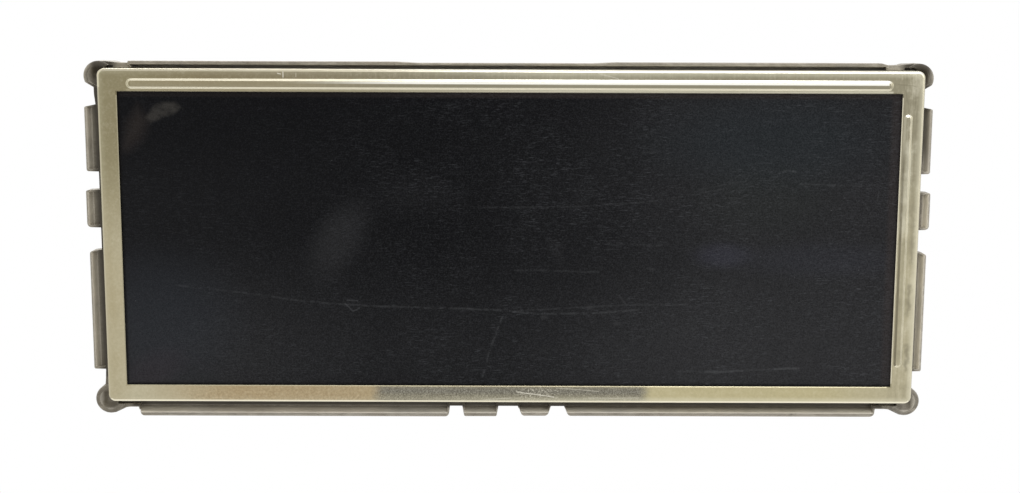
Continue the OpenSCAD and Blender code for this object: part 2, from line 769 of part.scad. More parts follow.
module led_strip() color("#e9e7df") upright() {
  strip_in = 4;
  translate([tray_inside[0] + strip_in, tray_inside[2], reflector_rear])
    cube([wide(tray_inside) - 2 * strip_in, strip_t, guide_t]);
}

module leds() color("#e8dc8c") upright() {
  last = floor((wide(guide) / 2 - 2 * led_pitch) / led_pitch);
  for (i = [-last:last])
    translate([i * led_pitch - led_w / 2, tray_inside[2] + strip_t, guide_rear + 0.1])
      cube([led_w, led_d, led_h]);
}

module backlight_tray() color("#b9bcbd") upright() {
  wall_short = 0.1;
  difference() {
    union() {
      plate(tray_rear, shelf_rear - wall_short) area(tray, 1);
      for (p = module_screws_at) translate([p[0], p[1], seat]) cylinder(r = bush_r, h = bush_h);
    }
    plate(reflector_rear, shelf_rear + past) area(tray_inside, 0.3);
    for (p = module_screws_at) translate([p[0], p[1], seat - past])
      cylinder(r = module_screw_r + thread_gap, h = bush_h + past);
    translate([tail_x - tail_w / 2 - 1, tray_inside[2] - 0.05, tray_rear - past])
      cube([tail_w + 2, strip_t + 0.1, tray_t + 2 * past]);
  }
}

module board_insulator() color("#2b2a26") upright() {
  plate(source_front, tray_rear) area(source);
}

module source_board() color("#1f5c3a") upright() {
  plate(source_rear, source_front) area(source, 1);
}

// A chip body with gull-wing leads on two sides, standing on z = 0
module leaded_chip(w, h, t, leads) {
  lead_w = 0.4;
  pitch = (w - 1) / (leads - 1);
  translate([-w / 2, -h / 2, 0]) cube([w, h, t]);
  for (i = [0:leads - 1], s = [-1, 1]) translate([(i - (leads - 1) / 2) * pitch, s * h / 2, 0])
    rotate([90, 0, 90]) linear_extrude(lead_w, center = true)
      polygon([[0, t * 0.5], [0, t * 0.35], [s * 0.45, t * 0.3], [s * 0.5, 0], [s * 1.1, 0],
               [s * 1.1, 0.15], [s * 0.7, 0.15], [s * 0.6, t * 0.5]]);
}

module timing_chip() color("#26272a") upright() {
  translate([-40, (source[2] + source[3]) / 2 - 1.2, source_rear]) mirror([0, 0, 1])
    leaded_chip(10, 3.4, 0.9, 10);
}

module source_socket() color("#d8d2c0") upright() {
  mouth = source[2] + 0.4;
  difference() {
    translate([-socket_w / 2, mouth, source_rear - source_socket_t])
      cube([socket_w, source_socket_h, source_socket_t]);
    translate([-ribbon_w / 2 - 0.2, mouth - past, source_rear - 0.9])
      cube([ribbon_w + 0.4, slot_d + past, ribbon_t + 0.1]);
  }
}

module ribbon_cable() color("#e4e2da") upright() {
  mouth = source[2] + 0.4;
  top = [mouth, source_rear - 0.9 + ribbon_t / 2];
  low = [ribbon_socket_y + ribbon_socket_h, board_front + 0.9 + ribbon_t / 2];
  path = concat([top + [slot_d - 0.1, 0], top + [0.01, 0]],
                easy_path(top, low, ribbon_steps),
                [low - [0.01, 0], low - [slot_d - 0.1, 0]]);
  rotate([90, 0, 90]) linear_extrude(ribbon_w, center = true) polygon(strip(path, ribbon_t));
}

module ribbon_socket() color("#d8d2c0") upright() {
  difference() {
    translate([-socket_w / 2, ribbon_socket_y, board_front])
      cube([socket_w, ribbon_socket_h, ribbon_socket_t]);
    translate([-ribbon_w / 2 - 0.2, ribbon_socket_y + ribbon_socket_h - slot_d, board_front + 0.9])
      cube([ribbon_w + 0.4, slot_d + past, ribbon_t + 0.1]);
  }
}

module backlight_flex() color("#b06f26") upright() {
  y = tray_inside[2] + strip_t / 2;
  turn = [y + tail_bend, shoulder_front + 1.2];
  low = [tail_socket_y - ribbon_socket_h, board_front + 0.9 + ribbon_t / 2];
  bend = [for (a = [180:15:270]) turn + tail_bend * [cos(a), sin(a) + 1]];
  path = concat([[y, reflector_rear]], bend, easy_path(turn + [0.5, 0], low, ribbon_steps),
                [low + [0.01, 0], low + [slot_d - 0.1, 0]]);
  translate([tail_x, 0, 0]) rotate([90, 0, 90]) linear_extrude(tail_w, center = true)
    polygon(strip(path, ribbon_t));
}

module backlight_socket() color("#d8d2c0") upright() {
  translate([tail_x, 0, 0]) difference() {
    translate([-tail_socket_w / 2, tail_socket_y - ribbon_socket_h, board_front])
      cube([tail_socket_w, ribbon_socket_h, ribbon_socket_t]);
    translate([-tail_w / 2 - 0.2, tail_socket_y - ribbon_socket_h - past, board_front + 0.9])
      cube([tail_w + 0.4, slot_d + past, ribbon_t + 0.1]);
  }
}

module control_board() color("#1d6140") upright() {
  difference() {
    plate(board_rear, board_front) area(board, board_r);
    for (p = board_screws_at) translate([p[0], p[1], board_rear - past])
      cylinder(r = board_screw_r + screw_gap, h = board_t + 2 * past);
  }
}

// A flat chip on the rear of the board, with a dot in its corner
module rear_chip(c) {
  dot_r = 0.5;
  translate([c[0], c[1], board_rear]) mirror([0, 0, 1]) difference() {
    translate([-c[2] / 2, -c[3] / 2, 0]) cube([c[2], c[3], chip_t]);
    translate([1.6 - c[2] / 2, 1.6 - c[3] / 2, chip_t - 0.1]) cylinder(r = dot_r, h = past);
  }
}

module graphics_chip() color("#232428") upright() {
  rear_chip(graphics_at);
}

module memory_chips() color("#232428") upright() {
  for (c = memory_at) rear_chip(c);
}

module power_chips() color("#2a2b2e") upright() {
  for (c = power_at) rear_chip(c);
}

module thermal_pads() color("#8fa6b8") upright() {
  for (c = cooled) translate([c[0] - c[2] / 2 + pad_inset, c[1] - c[3] / 2 + pad_inset, island_front])
    cube([c[2] - 2 * pad_inset, c[3] - 2 * pad_inset, pad_t]);
}

module coils() color("#3b3a38") upright() {
  for (u = power_columns) translate(concat(on_board(u, 0.108), [board_front]))
    plate(0, coil_h) area([-coil_w / 2, coil_w / 2, -coil_w / 2, coil_w / 2], 1);
}

module capacitors() color("#c3c5c6") upright() {
  foot_h = 1;
  columns = [for (u = power_columns) u + can_column_shift];
  places = concat([for (u = columns) on_board(u, 0.108)], [on_board(columns[2], -0.324)]);
  for (p = places) translate([p[0], p[1], board_front]) {
    plate(0, foot_h) area([-can_r, can_r, -can_r, can_r], 0.6);
    translate([0, 0, foot_h]) cylinder(r = can_r - 0.15, h = can_h - foot_h);
  }
}

module small_components() color("#b9a58a") upright() {
  left_group = [for (i = [0:8], j = [0:2]) on_board(-0.872, -0.7) + passive_pitch * [i, j]];
  right_group = [for (i = [0:4], j = [0:1]) on_board(-0.049, -0.7) + passive_pitch * [i, j]];
  for (p = concat(left_group, right_group)) translate([p[0], p[1], board_front])
    cube([passive_l, passive_w, passive_t]);
}

module shell_section(w, h, key) {
  polygon(rounded([[-w / 2, -h / 2], [w / 2, -h / 2], [w / 2, h / 2 - key], [w / 2 - key, h / 2],
                   [key - w / 2, h / 2], [-w / 2, h / 2 - key]], [0.6, 0.6, 0, 0, 0, 0]));
}

module video_connector() color("#4d4a78") upright() {
  key = 1.6;
  translate([video_x, connector_y, 0]) difference() {
    plate(connector_rear, board_rear) shell_section(video_w, video_w, key);
    plate(connector_rear - past, connector_base)
      shell_section(video_w - 2 * shell_t, video_w - 2 * shell_t, key - 0.5);
    translate([-1.2, video_w / 2 - shell_t - past / 2, connector_rear + 1.6])
      cube([2.4, shell_t + past, 2]);
  }
}

module video_contacts() color("#c8b77a") upright() {
  translate([video_x, connector_y, 0]) {
    plate(pin_tip, connector_base) difference() {
      circle(sleeve_r);
      circle(sleeve_r - sleeve_t);
    }
    for (x = [-contact_at, contact_at], y = [-contact_at, contact_at])
      translate([x - contact_w / 2, y - contact_w / 2, pin_tip + 0.5])
        cube([contact_w, contact_w, connector_base - pin_tip - 0.5]);
  }
}

module power_connector() color("#1f2022") upright() {
  latch_w = 5;
  translate([power_x, connector_y, 0]) difference() {
    plate(connector_rear, board_rear) shell_section(power_w, power_h, 0.8);
    plate(connector_rear - past, connector_base)
      shell_section(power_w - 2 * shell_t, power_h - 2 * shell_t, 0.4);
    translate([-latch_w / 2, power_h / 2 - shell_t - past / 2, connector_rear + 1.6])
      cube([latch_w, shell_t + past, 2]);
    for (x = [-1.5, -0.5, 0.5, 1.5], y = [-0.5, 0.5])
      translate([x * pin_pitch - pin_w / 2, y * pin_pitch - pin_w / 2, connector_base - past])
        cube([pin_w, pin_w, board_rear - connector_base + 2 * past]);
  }
}

module power_pins() color("#c9c6bd") upright() {
  translate([power_x, connector_y, 0])
    for (x = [-1.5, -0.5, 0.5, 1.5], y = [-0.5, 0.5])
      translate([x * pin_pitch - pin_w / 2, y * pin_pitch - pin_w / 2, pin_tip])
        cube([pin_w, pin_w, board_rear - pin_tip]);
}

// Turns a shape drawn along X, with Y pointing out, onto a side of the carrier
module on_right() {
  mirror([1, -1, 0]) children();
}

module on_both_sides() {
  on_right() children();
  mirror([1, 0, 0]) on_right() children();
}

// A tab's outline from the wall out to its edge, with a slant and a corner radius at each end
module tab_outline(tab, base, edge, slants, corners) {
  polygon(rounded([[tab[0], base], [tab[1], base], [tab[1] - slants[1], edge],
                   [tab[0] + slants[0], edge]], [0, 0, corners[1], corners[0]]));
}

// The top tab's outline sags in the middle
module top_outline() {
  sag_from = [-31, 29];
  ramp = 6;
  base = pocket[3] - 0.2;
  polygon([[top_tab[0], base], [top_tab[1], base], [top_tab[1], walls[3]],
           [top_tab[1] - top_slants[1], top_edge], [sag_from[1], top_edge],
           [sag_from[1] - ramp, top_edge - tab_top_sag], [sag_from[0] + ramp, top_edge - tab_top_sag],
           [sag_from[0], top_edge], [top_tab[0] + top_slants[0], top_edge]]);
}

module rim_tabs() {
  inside_wall = 0.8;
  on_both_sides() for (i = [0:len(side_tabs) - 1]) plate(flange_rear, lip_front)
    tab_outline(side_tabs[i], walls[1] - inside_wall, side_edges[i], side_slants[i], side_corners[i]);
  mirror([0, 1, 0]) for (i = [0:len(foot_tabs) - 1]) plate(flange_rear, lip_front)
    tab_outline(foot_tabs[i], -walls[2] - inside_wall, foot_edges[i], foot_slants[i], foot_corners[i]);
  plate(flange_rear, lip_front) top_outline();
}

// Sweeps a section, drawn in [out, z], along a tab
module along(tab, inset) {
  translate([tab[0] + inset, 0, 0]) rotate([90, 0, 90]) linear_extrude(tab[1] - tab[0] - 2 * inset)
    children();
}

// What lies over a tab's channel and the inner slope of its lip
module channel_section(from, edge, lip, crest, depth) {
  low = lip_front - depth;
  polygon(concat([[from, lip_front + past], [from, low]],
    easy_path([edge - lip, low], [edge - crest, lip_front], 7), [[edge - crest, lip_front + past]]));
}

// What lies over the rounded edge of a lip
module edge_section(edge, crest) {
  steps = 6;
  over = [for (i = [0:steps]) [edge - crest + crest * sin(90 * i / steps),
                               lip_front - lip_round * (1 - cos(90 * i / steps))]];
  polygon(concat([[edge - crest, lip_front + past]], over,
    [[edge + past, lip_front - lip_round], [edge + past, lip_front + past]]));
}

module rim_channels() {
  side_from = hole_x + 1;
  foot_from = 1.1 - pocket[2];
  top_overlap = 0.1;
  // the stretch of bottom channel behind each web: its middle from the hole, length and width
  behind_web = [5.5, 7, 0.85];
  on_both_sides() for (i = [0:len(side_tabs) - 1]) {
    along(side_tabs[i], tab_end)
      channel_section(side_from, side_edges[i], lip_side, crest_side, side_channel_d);
    along(side_tabs[i], -past) edge_section(side_edges[i], crest_side);
  }
  mirror([0, 1, 0]) for (i = [0:len(foot_tabs) - 1]) {
    along(foot_tabs[i], tab_end)
      channel_section(foot_from, foot_edges[i], lip_foot, crest_foot, channel_d);
    along(foot_tabs[i], -past) edge_section(foot_edges[i], crest_foot);
  }
  along(top_tab, tab_end) translate([pocket[3] - top_overlap, channel_floor])
    square([top_channel_w + top_overlap, channel_d + past]);
  for (s = [-1, 1])
    translate([s * (hole_x - behind_web[0]) - behind_web[1] / 2, -foot_from - behind_web[2], channel_floor])
    cube([behind_web[1], behind_web[2], channel_d + past]);
}

// Webs that run from each lobe into the walls, drawn from the lobe's centre as [inwards, out]
module lobe_webs() {
  root = 1;
  top_web = [[0, lobe_r - 0.1], [1.8, lobe_r - 0.1], [6.5, walls[3] - hole_y], [8.5, walls[3] - hole_y],
             [8.5, pocket[3] - root - hole_y], [0, 0]];
  foot_low = -walls[2] - hole_y;
  foot_web = [[0, lobe_r], [1.4, lobe_r - 0.15], [4.4, foot_low + 0.7], [5.4, foot_low + 0.57],
              [9, foot_low + 0.57], [9, -pocket[2] - root - hole_y], [0, 0]];
  upper_side_web = [[root, -2.5], [-1.5, -2.5], [-1.45, -5], [-1, -9], [root, -9]];
  lower_side_web = [[root, -3], [-1.45, -3], [-1.15, -6], [-1, -9], [root, -9]];
  plate(flange_rear, wall_front) for (side = [0, 1]) mirror([side, 0, 0]) {
    translate([hole_x, hole_y]) mirror([1, 0, 0]) {
      polygon(top_web);
      polygon(upper_side_web);
    }
    translate([hole_x, -hole_y]) rotate(180) {
      polygon(foot_web);
      polygon(lower_side_web);
    }
  }
}

module at_lobes() {
  for (x = [-hole_x, hole_x], y = [-hole_y, hole_y]) translate([x, y, 0]) children();
}

// Cuts the lower outer side of both upper lobes flat, in front of the shoulder
module lobe_flats() {
  lean = 30;
  for (s = [-1, 1]) translate([s * hole_x, hole_y, shoulder_rear])
    rotate([0, 0, s * lean]) translate([-lobe_r, -lobe_flat - lobe_r, 0])
    cube([2 * lobe_r, lobe_r, lip_front + past - shoulder_rear]);
}

// The part of a lobe in front of the bay's level, with a rounded edge
module lobe_head() {
  edge = [for (p = round_over(lobe_edge, lip_front)) [lobe_r - p[0], p[1]]];
  rotate_extrude() polygon(concat([[0, shoulder_rear], [lobe_r, shoulder_rear]], edge, [[0, lip_front]]));
}

// The dished recess in the front of a lobe
module lobe_dish() {
  low = lip_front - dish_d;
  outer = lobe_r - lobe_rim;
  rotate_extrude() polygon(concat([[0, lip_front + past], [0, low]],
    easy_path([dish_flat_r, low], [outer, lip_front], 7), [[outer, lip_front + past]]));
}

// Upright ribs that run from each lobe into the corner of the bay
module lobe_ribs() {
  for (x = [-1, 1], side = [[-1, bay[2]], [1, bay[3]]]) {
    from = [x * hole_x, side[0] * hole_y];
    to = [x * (bay[1] - bay_r + 1.5), side[1] - side[0] * 1.2];
    run = to - from;
    translate([from[0], from[1], floor_rear]) rotate([0, 0, atan2(run[1], run[0])])
      translate([0, -rib_t / 2, 0]) cube([norm(run), rib_t, shoulder_rear - floor_rear + 0.5]);
  }
}

module fins() {
  reach = (wide(bay) - 2 * bay_r) / 2;
  count = floor(reach / fin_pitch);
  low = bay[2] + bay_r;
  high_y = bay[3] - bay_r;
  for (i = [-count:count]) {
    x = i * fin_pitch;
    beside = x > power_x - power_w / 2 - 6 && x < video_x + video_w / 2 + 6;
    start = beside ? connector_y + power_h / 2 + 6 : low;
    translate([x, high_y, floor_rear + 0.1]) rotate([90, 0, 0]) linear_extrude(high_y - start)
      polygon([[-fin_root / 2, 0], [-fin_tip / 2, -fin_h - 0.1], [fin_tip / 2, -fin_h - 0.1],
               [fin_root / 2, 0]]);
  }
}

module connector_windows(over) {
  for (c = [[power_x, power_w, power_h], [video_x, video_w, video_w]])
    translate([c[0], connector_y])
      area([-c[1] / 2 - over, c[1] / 2 + over, -c[2] / 2 - over, c[2] / 2 + over], 1);
}

module housing() color("#8a867a") upright() {
  bay_draft = 0.3;
  wall_draft = 0.15;
  boss_r = 3;
  pad_in = 6.5;
  pad_l = 5;
  difference() {
    union() {
      profiled(walls, 3, [[wall_draft, shoulder_rear], [0, wall_front]]);
      profiled(bay, bay_r, concat(
        [for (i = [6:-1:0]) round_over(bay_edge, 0)[i] * [[1, 0], [0, -1]] + [bay_draft, floor_rear]],
        [[0, shoulder_rear + 0.5]]));
      from_holes() {
        rim_tabs();
        lobe_webs();
        difference() {
          at_lobes() lobe_head();
          lobe_flats();
        }
        at_lobes() cylinder(r1 = lobe_foot_r, r2 = lobe_r, h = shoulder_rear);
        lobe_ribs();
      }
      fins();
      plate(fin_back, floor_rear + 0.1) connector_windows(connector_gap + collar_t);
    }
    difference() {
      plate(shoulder_front, lip_front + past) area(pocket, bezel_r + pocket_side);
      for (p = module_screws_at) translate([p[0], p[1], shoulder_front - past])
        cylinder(r = bush_r + 0.7, h = seat_h + past);
      from_holes() for (x = [pad_in - hole_x, hole_x - pad_in]) plate(shoulder_front - past, wall_front)
        area([x - pad_l / 2, x + pad_l / 2, bezel[3] + locating_gap, pocket[3] + past]);
    }
    difference() {
      plate(floor_front, shoulder_front + past) area(bay_inside, bay_r - bay_wall);
      for (p = board_screws_at) translate([p[0], p[1], floor_front - past])
        cylinder(r = boss_r, h = board_rear - floor_front + past);
      for (c = cooled) plate(floor_front - past, island_front)
        area(grown([c[0] - c[2] / 2, c[0] + c[2] / 2, c[1] - c[3] / 2, c[1] + c[3] / 2],
          island_over - pad_inset));
    }
    from_holes() {
      rim_channels();
      difference() {
        at_lobes() lobe_dish();
        translate([0, lobe_rim, 0]) lobe_flats();
      }
      at_lobes() translate([0, 0, -past]) cylinder(r = hole_r, h = hole_d + past);
    }
    plate(-past, floor_front + past) connector_windows(connector_gap);
    for (p = module_screws_at) translate([p[0], p[1], shoulder_rear - past])
      cylinder(r = module_screw_r + screw_gap, h = shoulder_t + seat_h + 2 * past);
    for (p = board_screws_at) translate([p[0], p[1], floor_rear + screw_end_gap])
      cylinder(r = board_screw_r + thread_gap, h = board_rear - floor_rear);
  }
}

// A pan head screw that points along -Z, its head seated on z = 0
module screw(r, l, head_r, head_h) {
  drive_r = head_r * 0.5;
  difference() {
    union() {
      translate([0, 0, -l]) cylinder(r = r, h = l + 0.1);
      cylinder(r = head_r, h = head_h * 0.55);
      translate([0, 0, head_h * 0.55]) cylinder(r1 = head_r, r2 = head_r * 0.72, h = head_h * 0.45);
    }
    translate([0, 0, head_h * 0.4]) cylinder(r = drive_r, h = head_h, $fn = 6);
  }
}

module board_screws() color("#9b9c9e") upright() {
  for (p = board_screws_at) translate([p[0], p[1], board_front])
    screw(board_screw_r, board_front - floor_rear - 2 * screw_end_gap, board_head_r, board_head_h);
}

module module_screws() color("#9b9c9e") upright() {
  for (p = module_screws_at) translate([p[0], p[1], shoulder_rear]) mirror([0, 0, 1])
    screw(module_screw_r, tray_rear - shoulder_rear - screw_end_gap, module_head_r, module_head_h);
}

front_bezel();
front_gasket();
front_polarizer();
color_filter_glass();
tft_glass();
rear_polarizer();
driver_chips();
panel_flexes();
panel_frame();
prism_film_upper();
prism_film_lower();
diffuser_film();
light_guide();
reflector_film();
led_strip();
leds();
backlight_tray();
board_insulator();
source_board();
timing_chip();
source_socket();
ribbon_cable();
backlight_flex();
ribbon_socket();
backlight_socket();
control_board();
graphics_chip();
memory_chips();
power_chips();
coils();
capacitors();
small_components();
video_connector();
video_contacts();
power_connector();
power_pins();
thermal_pads();
housing();
board_screws();
module_screws();
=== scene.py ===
import math

import bpy
from mathutils import Euler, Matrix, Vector


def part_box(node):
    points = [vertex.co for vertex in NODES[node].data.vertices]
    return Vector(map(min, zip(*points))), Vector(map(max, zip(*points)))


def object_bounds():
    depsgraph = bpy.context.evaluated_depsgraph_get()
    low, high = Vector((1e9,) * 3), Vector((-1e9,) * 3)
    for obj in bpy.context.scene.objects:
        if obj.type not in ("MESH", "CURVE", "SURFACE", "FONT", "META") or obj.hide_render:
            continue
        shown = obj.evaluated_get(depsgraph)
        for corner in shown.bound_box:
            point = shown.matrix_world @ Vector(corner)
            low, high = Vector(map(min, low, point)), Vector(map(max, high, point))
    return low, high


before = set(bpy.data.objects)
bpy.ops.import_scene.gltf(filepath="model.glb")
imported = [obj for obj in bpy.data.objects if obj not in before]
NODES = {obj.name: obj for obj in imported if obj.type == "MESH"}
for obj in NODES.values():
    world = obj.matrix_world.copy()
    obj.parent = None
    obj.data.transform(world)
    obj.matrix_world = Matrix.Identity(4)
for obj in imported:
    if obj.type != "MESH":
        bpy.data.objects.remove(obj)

FIRST_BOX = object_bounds()

MM = 0.001

# Camera: the focal length in pixels of the 1020 x 493 image, the rest in the row frame
IMAGE_WIDTH = 1020
FOCAL_PIXELS = 1464.13
SENSOR = 36.0
CAMERA_AT = Vector((-0.00030, -0.41975, 0.05955))
CAMERA_TURN = (81.370, -0.2075, -0.0804)

# Stage: the floor lies well below, as the screen is held by its corner holes; it shows as
# white, and lets a little of its own shade through near the screen
FLOOR_DROP = 0.30
FLOOR_SIZE = 12.0
FLOOR_GREY = 0.82
FLOOR_WHITE_NEAR, FLOOR_WHITE_FAR = 0.75, 1.0
FLOOR_NEAR, FLOOR_FAR = 0.5, 0.9

# Light
WORLD_LIGHT = 0.80
KEY_AT, KEY_SIZE, KEY_POWER = Vector((0.18, -0.5, 0.9)), 0.6, 4.5
FILL_AT, FILL_SIZE, FILL_POWER = Vector((0.9, -0.75, 0.35)), 0.6, 3.0
BACK_AT, BACK_SIZE, BACK_POWER = Vector((-0.3, 0.9, 0.7)), 0.6, 5.0

# The window, from the film that reaches a little past it, and the bezel's outline (millimetres)
FILM_LOW, FILM_HIGH = (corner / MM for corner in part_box("front_polarizer"))
BEZEL_LOW, BEZEL_HIGH = (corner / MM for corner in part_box("front_bezel"))
FILM_OVER = 1.1
WINDOW_MIDDLE = (FILM_LOW + FILM_HIGH) / 2
HALF_W = (FILM_HIGH.x - FILM_LOW.x) / 2 - FILM_OVER
HALF_H = (FILM_HIGH.z - FILM_LOW.z) / 2 - FILM_OVER

# Centre of the upper right corner hole, in the row frame
CORNER_HOLE = Vector((112.0, 0.0, 45.25))

# Light that the film throws back on its own, taken off its colours, the darkest one left, and
# how much bluer than grey the film is
FILM_REFLECTS = 0.0065
FILM_DARKEST = 0.0005
FILM_BLUER = 1

# The share of a painted line's width, of a speck's radius and of a blob's radius that is full
# before it fades, and how far out past its ends and in from them a curve fades (millimetres)
LINE_CORE, SPECK_CORE, BLOB_CORE = 0.35, 0.4, 0.2
FADE_OUT, FADE_IN = 0.5, 1.5

# Edges: how far the rounded normal and the true one lie apart, from no edge to a full one
EDGE_APART = (0.03, 0.35)
BEVEL_SAMPLES = 4

# How much lighter than a plain surface its grain and its worn edges are (sRGB)
GRAIN_LIGHTER, EDGE_LIGHTER = 34, 70


def linear(red, green, blue):
    """A colour given as 0 to 255 in sRGB, as Blender's linear colour."""
    def channel(value):
        v = value / 255
        return v / 12.92 if v <= 0.04045 else ((v + 0.055) / 1.055) ** 2.4
    return (channel(red), channel(green), channel(blue), 1.0)


def film_tone(level):
    """The film's own colour where it is seen at a level of grey, a touch bluer."""
    seen = linear(level, level, level + FILM_BLUER)
    return tuple(max(c - FILM_REFLECTS, FILM_DARKEST) for c in seen[:3]) + (1.0,)


class Finish:
    """A material built from nodes, with one method for each kind of pattern."""

    def __init__(self, name):
        self.material = bpy.data.materials.new(name)
        self.material.use_nodes = True
        self.tree = self.material.node_tree
        self.tree.nodes.clear()
        self.shader = self.tree.nodes.new("ShaderNodeBsdfPrincipled")
        output = self.tree.nodes.new("ShaderNodeOutputMaterial")
        self.tree.links.new(self.shader.outputs["BSDF"], output.inputs["Surface"])
        place = self.tree.nodes.new("ShaderNodeTexCoord").outputs["Object"]
        self.place = self.vector("SCALE", place, scale=1 / MM)

    def put(self, socket, value):
        if isinstance(value, bpy.types.NodeSocket):
            self.tree.links.new(value, socket)
        else:
            socket.default_value = value

    def set(self, **values):
        """Sets the shader's sockets; underscores in a name stand for spaces."""
        for name, value in values.items():
            self.put(self.shader.inputs[name.replace("_", " ")], value)

    def math(self, operation, a, b=0.0, clamp=False):
        node = self.tree.nodes.new("ShaderNodeMath")
        node.operation = operation
        node.use_clamp = clamp
        self.put(node.inputs[0], a)
        self.put(node.inputs[1], b)
        return node.outputs[0]

    def vector(self, operation, a, b=(0, 0, 0), scale=1.0):
        node = self.tree.nodes.new("ShaderNodeVectorMath")
        node.operation = operation
        self.put(node.inputs[0], a)
        if operation == "SCALE":
            self.put(node.inputs["Scale"], scale)
        elif operation != "LENGTH":
            self.put(node.inputs[1], b)
        value = operation in ("LENGTH", "DOT_PRODUCT", "DISTANCE")
        return node.outputs["Value" if value else "Vector"]

    def axis(self, vector, name):
        node = self.tree.nodes.new("ShaderNodeSeparateXYZ")
        self.put(node.inputs[0], vector)
        return node.outputs[name]

    def band(self, value, low, high, out_low=0.0, out_high=1.0):
        """A smooth step of value from low to high."""
        node = self.tree.nodes.new("ShaderNodeMapRange")
        node.interpolation_type = "SMOOTHSTEP"
        for name, v in (("Value", value), ("From Min", low), ("From Max", high),
                        ("To Min", out_low), ("To Max", out_high)):
            self.put(node.inputs[name], v)
        return node.outputs["Result"]

    def times(self, *values):
        total = values[0]
        for v in values[1:]:
            total = self.math("MULTIPLY", total, v)
        return total

    def plus(self, *values):
        total = values[0]
        for v in values[1:]:
            total = self.math("ADD", total, v)
        return total

    def swing(self, value, size):
        """A noise about 0.5 turned into one about 0, of a given size."""
        return self.times(self.math("SUBTRACT", value, 0.5), size)

    def mix(self, factor, a, b):
        """Two colours mixed; sockets 6 and 7 and output 2 are the node's colour ones."""
        node = self.tree.nodes.new("ShaderNodeMix")
        node.data_type = "RGBA"
        node.clamp_factor = True
        self.put(node.inputs[0], factor)
        self.put(node.inputs[6], a)
        self.put(node.inputs[7], b)
        return node.outputs[2]

    def flat(self, vector):
        """The vector with its Y taken out."""
        return self.vector("MULTIPLY", vector, (1, 0, 1))

    def stretched(self, stretch, turn=0.0):
        """The place, turned by degrees about Y and then scaled, so that a pattern runs long."""
        node = self.tree.nodes.new("ShaderNodeMapping")
        self.put(node.inputs["Vector"], self.place)
        node.inputs["Rotation"].default_value = (0, math.radians(turn), 0)
        node.inputs["Scale"].default_value = stretch
        return node.outputs[0]

    def noise(self, per_mm, detail=2.0, rough=0.5, stretch=(1, 1, 1), turn=0.0, warp=0.0, output=0):
        node = self.tree.nodes.new("ShaderNodeTexNoise")
        self.put(node.inputs["Vector"], self.stretched(stretch, turn))
        node.inputs["Scale"].default_value = per_mm
        node.inputs["Detail"].default_value = detail
        node.inputs["Roughness"].default_value = rough
        node.inputs["Distortion"].default_value = warp
        return node.outputs[output]

    def shaken(self, vector, per_mm, size):
        """The vector moved about by a slow noise, so that straight lines come out uneven."""
        shake = self.vector("SUBTRACT", self.noise(per_mm, 1.0, output=1), (0.5, 0.5, 0.5))
        return self.flat(self.vector("ADD", vector, self.vector("SCALE", shake, scale=size)))

    def specks(self, per_mm, radius, share, place=None):
        """Small round dots: one in each cell of a grid, kept in only a share of the cells."""
        node = self.tree.nodes.new("ShaderNodeTexVoronoi")
        self.put(node.inputs["Vector"], self.place if place is None else place)
        node.inputs["Scale"].default_value = per_mm
        near = self.band(node.outputs["Distance"], radius * per_mm, SPECK_CORE * radius * per_mm)
        kept = self.math("LESS_THAN", self.axis(node.outputs["Color"], "X"), share)
        return self.times(near, kept)

    def ramp(self, value, stops):
        """A colour along value, from (value, colour) stops."""
        low, high = stops[0][0], stops[-1][0]
        node = self.tree.nodes.new("ShaderNodeValToRGB")
        share = self.tree.nodes.new("ShaderNodeMapRange")
        self.put(share.inputs["Value"], value)
        share.inputs["From Min"].default_value = low
        share.inputs["From Max"].default_value = high
        self.put(node.inputs[0], share.outputs["Result"])
        elements = node.color_ramp.elements
        while len(elements) < len(stops):
            elements.new(0.5)
        for element, (at, colour) in zip(elements, stops):
            element.position = (at - low) / (high - low)
            element.color = colour
        return node.outputs[0]

    def tones(self, value, stops):
        """A colour along value, from (value, sRGB tone) stops."""
        return self.ramp(value, [(at, linear(*tone)) for at, tone in stops])

    def box(self, vector, left, right, low, high, soft):
        """1 inside a box in X and Z, 0 outside it, with soft edges."""
        x, z = self.axis(vector, "X"), self.axis(vector, "Z")
        return self.times(self.band(x, left - soft, left + soft), self.band(x, right + soft, right - soft),
                          self.band(z, low - soft, low + soft), self.band(z, high + soft, high - soft))

    def blob(self, vector, middle, radii, turn=0.0):
        """A soft round patch about a point in X and Z, its first radius turned up by degrees."""
        at = self.vector("SUBTRACT", vector, (middle[0], 0, middle[1]))
        node = self.tree.nodes.new("ShaderNodeVectorRotate")
        node.rotation_type = "Y_AXIS"
        self.put(node.inputs["Vector"], at)
        node.inputs["Angle"].default_value = math.radians(turn)
        scaled = self.vector("MULTIPLY", node.outputs[0], (1 / radii[0], 0, 1 / radii[1]))
        return self.band(self.vector("LENGTH", scaled), 1.0, BLOB_CORE)

    def patch(self, vector, points, soft):
        """1 inside a convex outline in X and Z, its points given clockwise."""
        inside = None
        for (ax, az), (bx, bz) in zip(points, points[1:] + points[:1]):
            run = Vector((bx - ax, bz - az)).normalized()
            inward = (run.y, 0, -run.x)
            deep = self.vector("DOT_PRODUCT", self.vector("SUBTRACT", vector, (ax, 0, az)), inward)
            inside = deep if inside is None else self.math("MINIMUM", inside, deep)
        return self.band(inside, -soft, soft)

    def stroke(self, vector, points, width):
        """A thin straight line between two points in X and Z."""
        start, end = points
        run = Vector((end[0] - start[0], 0, end[1] - start[1]))
        from_start = self.vector("SUBTRACT", vector, (start[0], 0, start[1]))
        share = self.math("MULTIPLY", self.vector("DOT_PRODUCT", from_start, run),
                          1 / run.length_squared, clamp=True)
        nearest = self.vector("SCALE", tuple(run), scale=share)
        off = self.vector("LENGTH", self.vector("SUBTRACT", from_start, nearest))
        return self.band(off, width, width * LINE_CORE)

